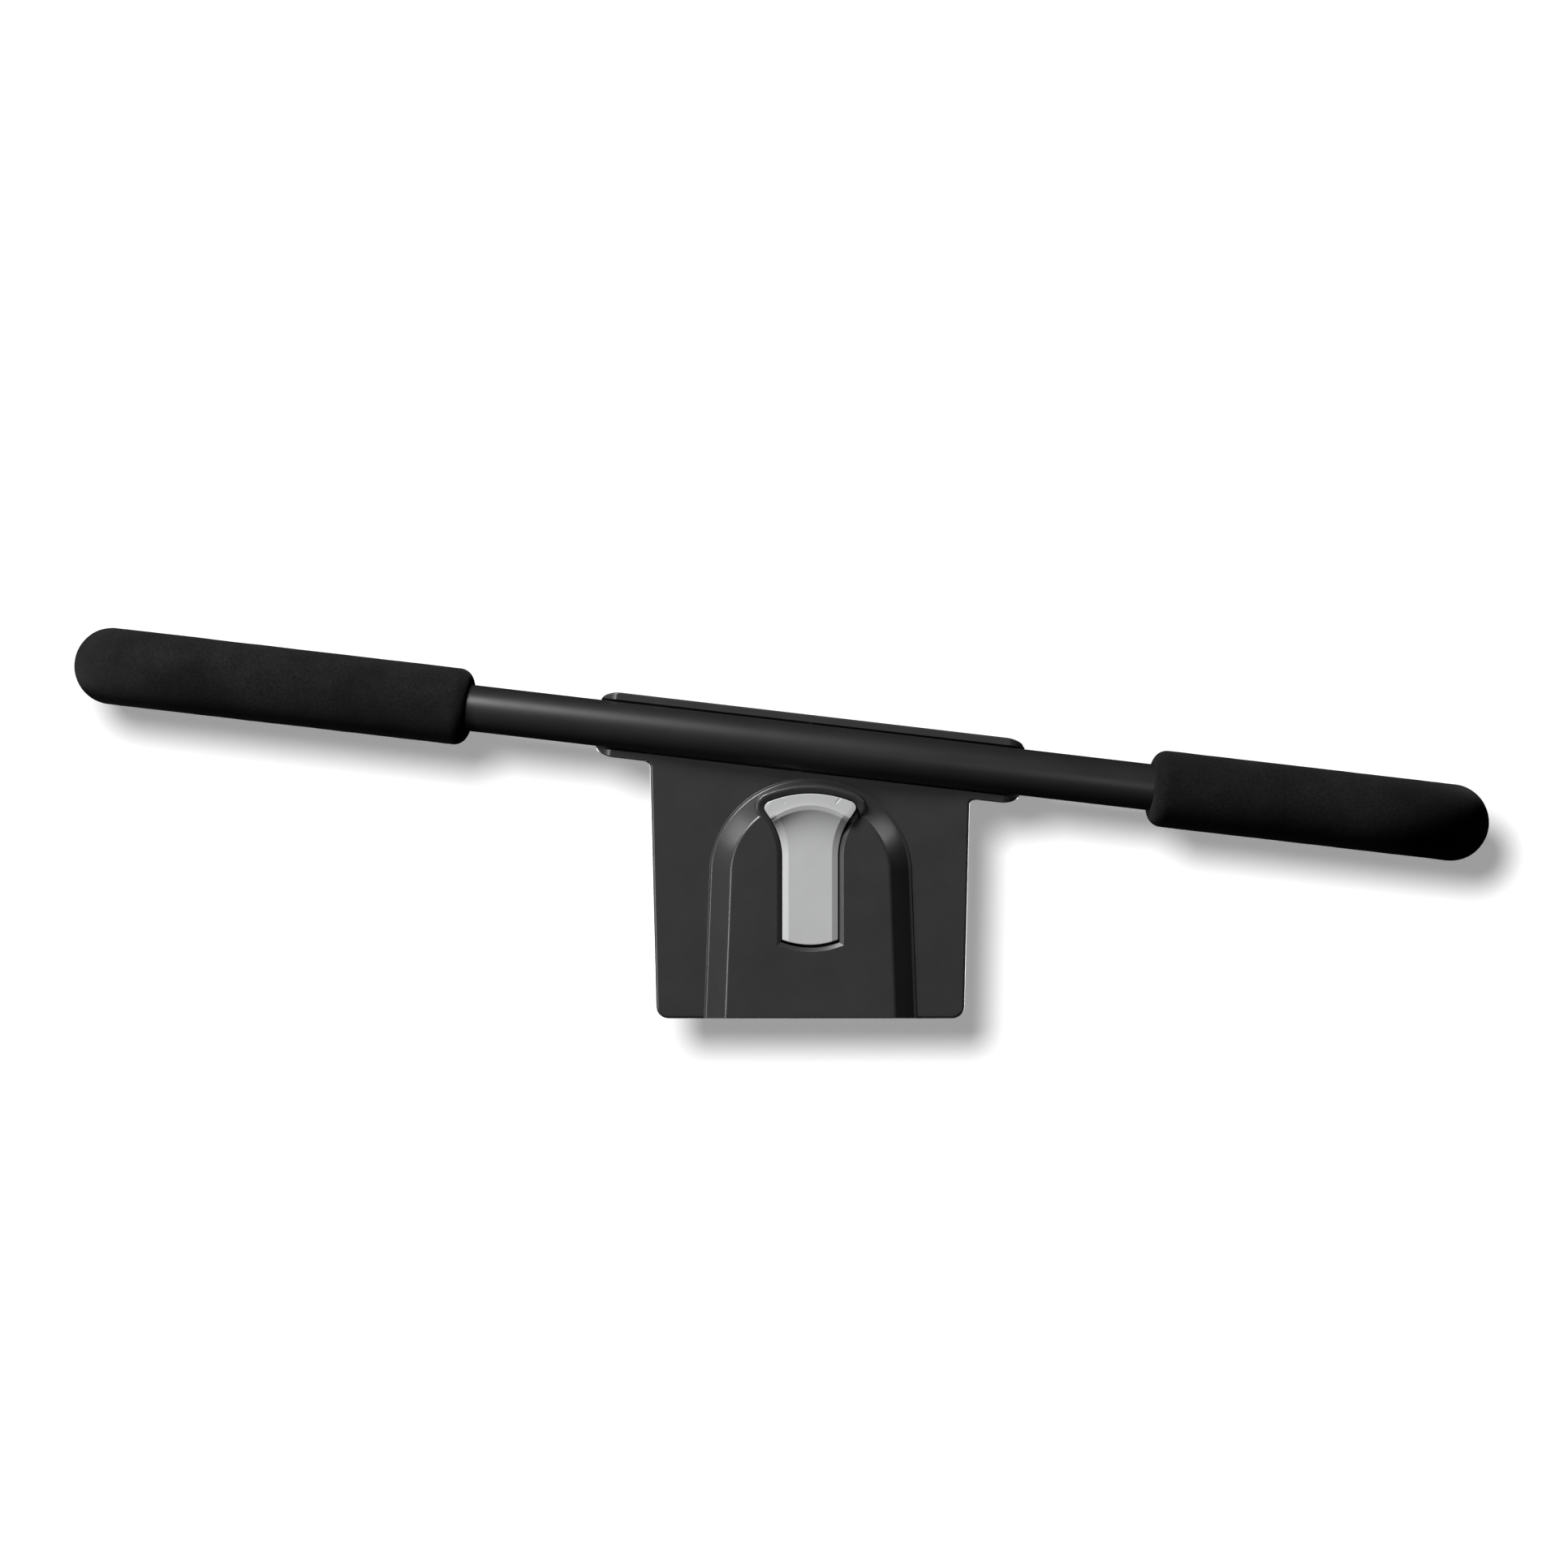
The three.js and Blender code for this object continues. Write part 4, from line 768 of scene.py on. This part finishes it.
def socket_cutter():
    """The docking socket in the back, less the block of material round the lever's opening."""
    hollow = loft("hollow", [
        standing(arch_ring(SOCKET_ARCH, 0.0, PLATE_BOTTOM - 30), -35.0),
        standing(arch_ring(SOCKET_ARCH, 0.0, PLATE_BOTTOM - 30), 5.0),
    ])
    room = lever_outline(EXTRA_BELOW + SWING_ROOM)
    block = prism("block", room, [(4.0, -45.0), (4.0, -17.0)])
    return combine(hollow, block, "DIFFERENCE")


def slot_cutter():
    """The slot for the bowed tube: straight walls below the flange's face, then a rounded floor."""
    half_turn = np.linspace(math.pi, 0, 33)
    deep = SLOT_DEPTH - SLOT_WALL
    section = [(-SLOT_HALF, -60.0)]
    section += [(SLOT_HALF * math.cos(a), SLOT_WALL + deep * math.sin(a)) for a in half_turn]
    section += [(SLOT_HALF, -60.0)]
    rings = []
    half = FLANGE_HALF_LENGTH + 8
    for along in np.linspace(-half, half, 49):
        ring = []
        for across, out in section:
            x, z = from_bar(along, across)
            ring.append((x, BAR_DEPTH + bow_depth(along) + out, z))
        rings.append(ring)
    return loft("slot", rings)


def screw_hole(x, z, head, radius, length):
    """The countersunk hole of a screw that goes in from the back."""
    rim = -0.35 - (head - radius)
    profile = [
        (0, -length), (radius, -length), (radius, rim - 0.4), (head, -0.75), (head, 1), (0, 1),
    ]
    return lathe("hole", profile, x, z, 32)


def drill(radius, front, back, x=0.0, z=0.0, sides=48):
    """A cylinder along Y that cuts a hole."""
    return lathe("hole", [(0, front), (radius, front), (radius, back), (0, back)], x, z, sides)


def bracket_piece():
    shell = combine(flange_body(), plate_body(), "UNION")
    combine(shell, boss_body(), "UNION")
    combine(shell, collar_body(), "UNION")
    combine(shell, slot_cutter(), "DIFFERENCE")
    combine(shell, opening_cutter(), "DIFFERENCE")
    combine(shell, socket_cutter(), "DIFFERENCE")
    for x, z in PLATE_SCREWS:
        hole = screw_hole(x, z, PLATE_SCREW_HEAD, PLATE_SCREW_SHANK, PLATE_SCREW_LENGTH)
        combine(shell, hole, "DIFFERENCE")
    for along in TUBE_BOLTS:
        x, z = from_bar(along, 0)
        back = BAR_DEPTH + TUBE_RADIUS + bow_depth(along)
        combine(shell, drill(TUBE_BOLT_HOLE, -26, 1, x, z, 32), "DIFFERENCE")
        combine(shell, drill(TUBE_INSERT_RELIEF, back - 6, back + 2.2, x, z, 32), "DIFFERENCE")
    combine(shell, drill(GUIDE_HOLE, -30, -10), "DIFFERENCE")
    for z in HINGE_SCREW_ROWS:
        combine(shell, drill(HINGE_SCREW_HOLE, -30, -10, 0, z, 24), "DIFFERENCE")
    shell.name = "bracket_surface"
    crease(shell, 28)
    return put(shell, "bracket", "moulding", "bracket_shell")


# ---------------------------------------------------------------- the lever

RIDGE_Z = 48.7
RIDGE_RADIUS = 37.4
RIDGE_BAND = 2.9
RIDGE_STEP = 0.75
FLARE_START = 12.0
FLARE_RISE = 7.0
FLARE_POWER = 3.3
CHAMFER_WIDTH = 4.1
CHAMFER_DEPTH = 1.9
LEVER_FACE = BOSS_FRONT
LEVER_ROUND = 0.6
HEAD_DIP = 0.32
HEAD_DIP_RUN = 1.8
MARK_START = (16.7, 50.2)
MARK_WAY = (0.655, 0.756)
MARK_LENGTH = 4.2
MARK_HALF = 0.6
MARK_DEPTH = 0.4
EDGE_STEPS = [0, 0.08, 0.2, 0.36, 0.56, 0.8, 1.2, 2.0, 2.9, 3.5, 3.9, 4.1, 4.3, 4.7, 5.4]


def ridge_z(x):
    return RIDGE_Z - x ** 2 / (2 * RIDGE_RADIUS)


def ease(value):
    value = min(1.0, max(0.0, value))
    return value * value * (3 - 2 * value)


def rows_between(first, second, shares):
    """Extra rows of the lever's grid between two neighbours."""
    return [
        [
            (a[0] + (b[0] - a[0]) * share, a[1] + (b[1] - a[1]) * share, a[2], a[3])
            for a, b in zip(first, second)
        ]
        for share in shares
    ]


def lever_grid():
    """
    Rows of (x, z, distance from the side, zone) over the lever's front. The rows follow the
    ridge across the head. Zone 0 is below the ridge's band, 1 is the band and 2 is above it.
    """
    side = lever_side()
    gap = side[:, 1] - ridge_z(side[:, 0])
    upper_cut = int(np.argmax(gap > 0))
    lower_cut = int(np.argmax(gap > -RIDGE_BAND))
    zones = [
        (stretch(side[:lower_cut + 1], 150), lambda x: foot_z(np.clip(x, -NECK_HALF, NECK_HALF)),
         lambda x: ridge_z(x) - RIDGE_BAND),
        (stretch(side[lower_cut:upper_cut + 1], 9), lambda x: ridge_z(x) - RIDGE_BAND, ridge_z),
        (stretch(side[upper_cut:], 44), ridge_z, crown_z),
    ]
    inner = np.linspace(-1, 1, 111)[1:-1]
    front = []
    for number, (edge, low, high) in enumerate(zones):
        first = 0 if number == 0 else 1
        x_low, x_high = edge[0][0], edge[-1][0]
        z_low, z_high = edge[0][1], edge[-1][1]
        shares = np.linspace(0, 1, len(edge))
        for k in range(first, len(edge)):
            width, z_edge = edge[k]
            t = shares[k]
            xs = [-(width - d) for d in EDGE_STEPS]
            core = width - EDGE_STEPS[-1] - 0.3
            xs += [core * u for u in inner] + [width - d for d in EDGE_STEPS[::-1]]
            row = []
            for x in xs:
                u = x / width
                z = z_edge + (1 - t) * (low(u * x_low) - z_low) + t * (high(u * x_high) - z_high)
                row.append((x, z, abs(width - abs(x)), number))
            front.append(row)
    front[1:1] = rows_between(front[0], front[1], (0.12, 0.3, 0.55))
    front[-1:-1] = rows_between(front[-2], front[-1], (0.3, 0.6, 0.85))
    return front


def lever_depth(x, z, from_side, zone):
    """Depth of the lever's face: sweep up to the ridge, chamfered sides, rounded edges, marks."""
    ridge = ridge_z(x)
    line = ridge - RIDGE_BAND
    if zone == 0:
        share = max(0.0, (z - FLARE_START) / (line - FLARE_START))
        rise = (FLARE_RISE - RIDGE_STEP) * share ** FLARE_POWER
    elif zone == 1:
        rise = FLARE_RISE - RIDGE_STEP * (1 - min(1.0, max(0.0, (z - line) / RIDGE_BAND)))
    else:
        rise = FLARE_RISE - HEAD_DIP * (1 - math.exp(-(z - ridge) / HEAD_DIP_RUN))
    chamfer = CHAMFER_DEPTH * max(0.0, 1 - from_side / CHAMFER_WIDTH)
    fade = 1.0 if zone == 0 else (1 - ease((z - line) / (RIDGE_BAND * 1.6)))
    back = chamfer * fade + 0.35 * ease(1 - from_side / 3.0) * (1 - fade)
    r = LEVER_ROUND
    above = z - foot_z(min(abs(x), NECK_HALF))
    below_crown = crown_z(min(abs(x), CROWN_HALF)) - z
    for gap in (from_side, above if zone == 0 else r, below_crown if zone == 2 else r):
        if gap < r:
            back += r - math.sqrt(max(0.0, r ** 2 - (r - max(0.0, gap)) ** 2))
    for way in (-1, 1):
        right, up = way * x - MARK_START[0], z - MARK_START[1]
        t = right * MARK_WAY[0] + up * MARK_WAY[1]
        across = abs(right * MARK_WAY[1] - up * MARK_WAY[0])
        if -0.3 < t < MARK_LENGTH and across < MARK_HALF:
            back += MARK_DEPTH * (1 - across / MARK_HALF)
    return LEVER_FACE - rise + back


def lever_slab():
    """The lever's front grid and a flat back behind it, closed all round."""
    front = lever_grid()
    rows, columns = len(front), len(front[0])
    points = [(x, lever_depth(x, z, d, zone), z) for row in front for x, z, d, zone in row]
    points += [(x, LEVER_BACK, z) for row in front for x, z, *_ in row]

    def at(layer, r, c):
        return (layer * rows + r) * columns + c

    faces = []
    for r in range(rows - 1):
        for c in range(columns - 1):
            faces.append((at(0, r, c), at(0, r, c + 1), at(0, r + 1, c + 1), at(0, r + 1, c)))
            faces.append((at(1, r, c), at(1, r + 1, c), at(1, r + 1, c + 1), at(1, r, c + 1)))
        faces.append((at(0, r, 0), at(0, r + 1, 0), at(1, r + 1, 0), at(1, r, 0)))
        last = columns - 1
        faces.append((at(0, r, last), at(1, r, last), at(1, r + 1, last), at(0, r + 1, last)))
    for c in range(columns - 1):
        last = rows - 1
        faces.append((at(0, 0, c), at(1, 0, c), at(1, 0, c + 1), at(0, 0, c + 1)))
        faces.append((at(0, last, c), at(0, last, c + 1), at(1, last, c + 1), at(1, last, c)))
    return mesh_object("lever_surface", points, faces)


def arc_points(y, z, radius, angles):
    """Points of an arc round (y, z) in the side view."""
    return [(y + radius * math.cos(a), z + radius * math.sin(a)) for a in angles]


def lever_piece():
    """The lever: its slab, and two ribs behind it with the pivot's hole and the link pin's slot."""
    lever = lever_slab()
    back = LEVER_BACK - 1
    rib = [(back, PIVOT[1] - EYE_RADIUS)]
    rib += arc_points(*PIVOT, EYE_RADIUS, np.linspace(-math.pi / 2, 0, 16))
    rib += arc_points(LINK[0], LINK_TRAVEL, EYE_RADIUS, np.linspace(0, math.pi / 2, 16))
    rib += [(back, LINK_TRAVEL + EYE_RADIUS)]
    rib = np.array(rib)
    for low in RIB_SIDES:
        combine(lever, side_slab("rib", rib, low, low + RIB_THICKNESS), "UNION")
    combine(lever, rod_x("pin_hole", PIVOT_HOLE, -20, 20, *PIVOT), "DIFFERENCE")
    slot = arc_points(LINK[0], LINK_TRAVEL, LINK_SLOT_RADIUS, np.linspace(0, math.pi, 20))
    slot += arc_points(LINK[0], 0.0, LINK_SLOT_RADIUS, np.linspace(math.pi, 2 * math.pi, 20))
    combine(lever, side_slab("slot", np.array(slot), -20, 20), "DIFFERENCE")
    crease(lever, 32)
    return put(lever, "lever", "lever", "release_lever")


# ---------------------------------------------------------------- camera, stage and light

VIEW_WIDTH = 1.0133
VIEW_CENTRE = (-0.01699, 0.06245)


def camera():
    """Square to the front and without perspective, as the photograph is."""
    data = bpy.data.cameras.new("camera")
    data.type = "ORTHO"
    data.ortho_scale = VIEW_WIDTH
    data.clip_end = 50
    obj = bpy.data.objects.new("camera", data)
    obj.location = (VIEW_CENTRE[0], -3.0, VIEW_CENTRE[1])
    obj.rotation_euler = (math.pi / 2, 0, 0)
    scene.collection.objects.link(obj)
    scene.camera = obj


def stage_sweep():
    """A pale floor that curves up into a backdrop behind the object."""
    floor, wall, radius, half = -0.47, 1.9, 0.35, 6.0
    profile = [(-6.0, floor), (-2.0, floor), (0.5, floor)]
    for angle in np.linspace(0, math.pi / 2, 25):
        profile.append((wall - radius + radius * math.sin(angle), floor + radius * (1 - math.cos(angle))))
    profile += [(wall, 1.0), (wall, 4.0)]
    points = [(x, y, z) for y, z in profile for x in (-half, half)]
    faces = [(2 * i, 2 * i + 1, 2 * i + 3, 2 * i + 2) for i in range(len(profile) - 1)]
    mesh = bpy.data.meshes.new("studio_sweep")
    mesh.from_pydata(points, [], faces)
    for polygon in mesh.polygons:
        polygon.use_smooth = True
    material = bpy.data.materials.new("sweep_finish")
    material.use_nodes = True
    shader = material.node_tree.nodes["Principled BSDF"]
    shader.inputs["Base Color"].default_value = (0.85, 0.85, 0.85, 1)
    shader.inputs["Roughness"].default_value = 1.0
    shader.inputs["Specular IOR Level"].default_value = 0.0
    shader.inputs["Emission Color"].default_value = (1, 1, 1, 1)
    shader.inputs["Emission Strength"].default_value = 0.20
    mesh.materials.append(material)
    obj = bpy.data.objects.new("studio_sweep", mesh)
    scene.collection.objects.link(obj)
    obj.visible_diffuse = False
    obj.visible_glossy = False
    obj.visible_transmission = False
    return obj


def aim(obj, target, source):
    obj.location = source
    obj.rotation_mode = "QUATERNION"
    obj.rotation_quaternion = (Vector(target) - Vector(source)).to_track_quat("-Z", "Y")


def area_light(name, direction, distance, size, power, target=(0, 0, 0.03)):
    data = bpy.data.lights.new(name, "AREA")
    data.shape = "DISK"
    data.size = size
    data.energy = power
    obj = bpy.data.objects.new(name, data)
    scene.collection.objects.link(obj)
    aim(obj, target, Vector(target) + Vector(direction).normalized() * distance)
    return obj


def sun_light(name, direction, angle, strength):
    data = bpy.data.lights.new(name, "SUN")
    data.angle = math.radians(angle)
    data.energy = strength
    obj = bpy.data.objects.new(name, data)
    scene.collection.objects.link(obj)
    aim(obj, (0, 0, 0), Vector(direction))
    return obj


KEY = (-0.453, -0.604, 0.654)


def linked(name, pieces, keep_out=False):
    """A collection for light linking, which lets its pieces in or keeps them out."""
    collection = bpy.data.collections.new(name)
    for number, piece in enumerate(pieces):
        collection.objects.link(piece)
        if keep_out:
            collection.collection_objects[number].light_linking.link_state = "EXCLUDE"
    return collection


def studio(bar_pieces, bracket, lever):
    """
    Two suns light the sweep alone. Two keys come from the same place at the upper left, and the
    bar casts a shadow in only one of them. Smaller lights serve single pieces: the bracket's
    slopes and left end, the bar and lever from the left, and the tube from the right. Three
    more stand behind for the views from there.
    """
    sweep = stage_sweep()
    tube, *grips = bar_pieces
    no_bar = linked("bar_pieces", bar_pieces, keep_out=True)
    only = linked("sweep_only", [sweep])
    without = linked("without_sweep", [sweep], keep_out=True)
    for light in (
        sun_light("backdrop_sun", (-0.0093, -1.0, 0.0113), 0.85, 3.1),
        sun_light("floor_sun", (-0.15, -0.25, 1.0), 30.0, 1.9),
    ):
        light.light_linking.receiver_collection = only
    key = area_light("key", KEY, 5.0, 2.0, 160.0)
    key.light_linking.blocker_collection = no_bar
    for light in (key, area_light("key_shadow", KEY, 5.0, 2.0, 245.0)):
        light.light_linking.receiver_collection = without
    bracket_only = linked("bracket_only", [bracket])
    for light in (
        area_light("top_left", (-0.84, 0.06, 0.55), 2.0, 0.75, 9.0),
        area_light("top_right", (0.84, 0.06, 0.55), 2.0, 0.6, 5.5),
        area_light("front_left", (-0.69, -0.72, 0.0), 3.0, 0.9, 30.0),
    ):
        light.light_linking.receiver_collection = bracket_only
        light.light_linking.blocker_collection = no_bar
    without_foam = linked("without_foam", [sweep, *grips], keep_out=True)
    for light in (
        area_light("back_left", (-0.5, 0.85, -0.05), 2.0, 1.0, 40.0),
        area_light("back_right", (0.5, 0.85, -0.05), 2.0, 1.0, 40.0),
    ):
        light.light_linking.receiver_collection = without_foam
    back_foam = area_light("back_foam", (0.0, 1.0, 0.0), 5.0, 0.5, 250.0)
    back_foam.light_linking.receiver_collection = linked("foam_only", grips)
    left = area_light("left", (-0.87, -0.5, 0.05), 5.0, 0.6, 58.0)
    left.light_linking.receiver_collection = linked("bar_and_lever", [*bar_pieces, lever])
    front_right = area_light("front_right", (0.45, -0.9, 0.02), 4.0, 0.9, 26.0)
    front_right.light_linking.receiver_collection = linked("tube_only", [tube])
    world = bpy.data.worlds.new("studio")
    world.use_nodes = True
    scene.world = world
    nodes, links = world.node_tree.nodes, world.node_tree.links
    background = nodes["Background"]
    background.inputs["Color"].default_value = (0.9, 0.95, 1.0, 1)
    background.inputs["Strength"].default_value = 0.008
    bright = nodes.new("ShaderNodeBackground")
    bright.inputs["Color"].default_value = (1, 1, 1, 1)
    bright.inputs["Strength"].default_value = 1.0
    seen = nodes.new("ShaderNodeLightPath")
    mix = nodes.new("ShaderNodeMixShader")
    links.new(seen.outputs["Is Camera Ray"], mix.inputs["Fac"])
    links.new(background.outputs["Background"], mix.inputs[1])
    links.new(bright.outputs["Background"], mix.inputs[2])
    links.new(mix.outputs["Shader"], nodes["World Output"].inputs["Surface"])
    scene.view_settings.view_transform = "Standard"
    scene.view_settings.look = "None"


# ---------------------------------------------------------------- build

camera()
bar_pieces = [tube_piece(), grip_piece(-1, "grip_left_foam"), grip_piece(1, "grip_right_foam")]
bracket = bracket_piece()
lever = lever_piece()
lever.visible_glossy = False
studio(bar_pieces, bracket, lever)

slot_of = {row["node"]: row["material_slot"] for row in frame["record"]["subparts"]}
for name, node in frame["nodes"].items():
    if not node.hide_render:
        node.data.materials.clear()
        node.data.materials.append(FINISH[slot_of[name]])
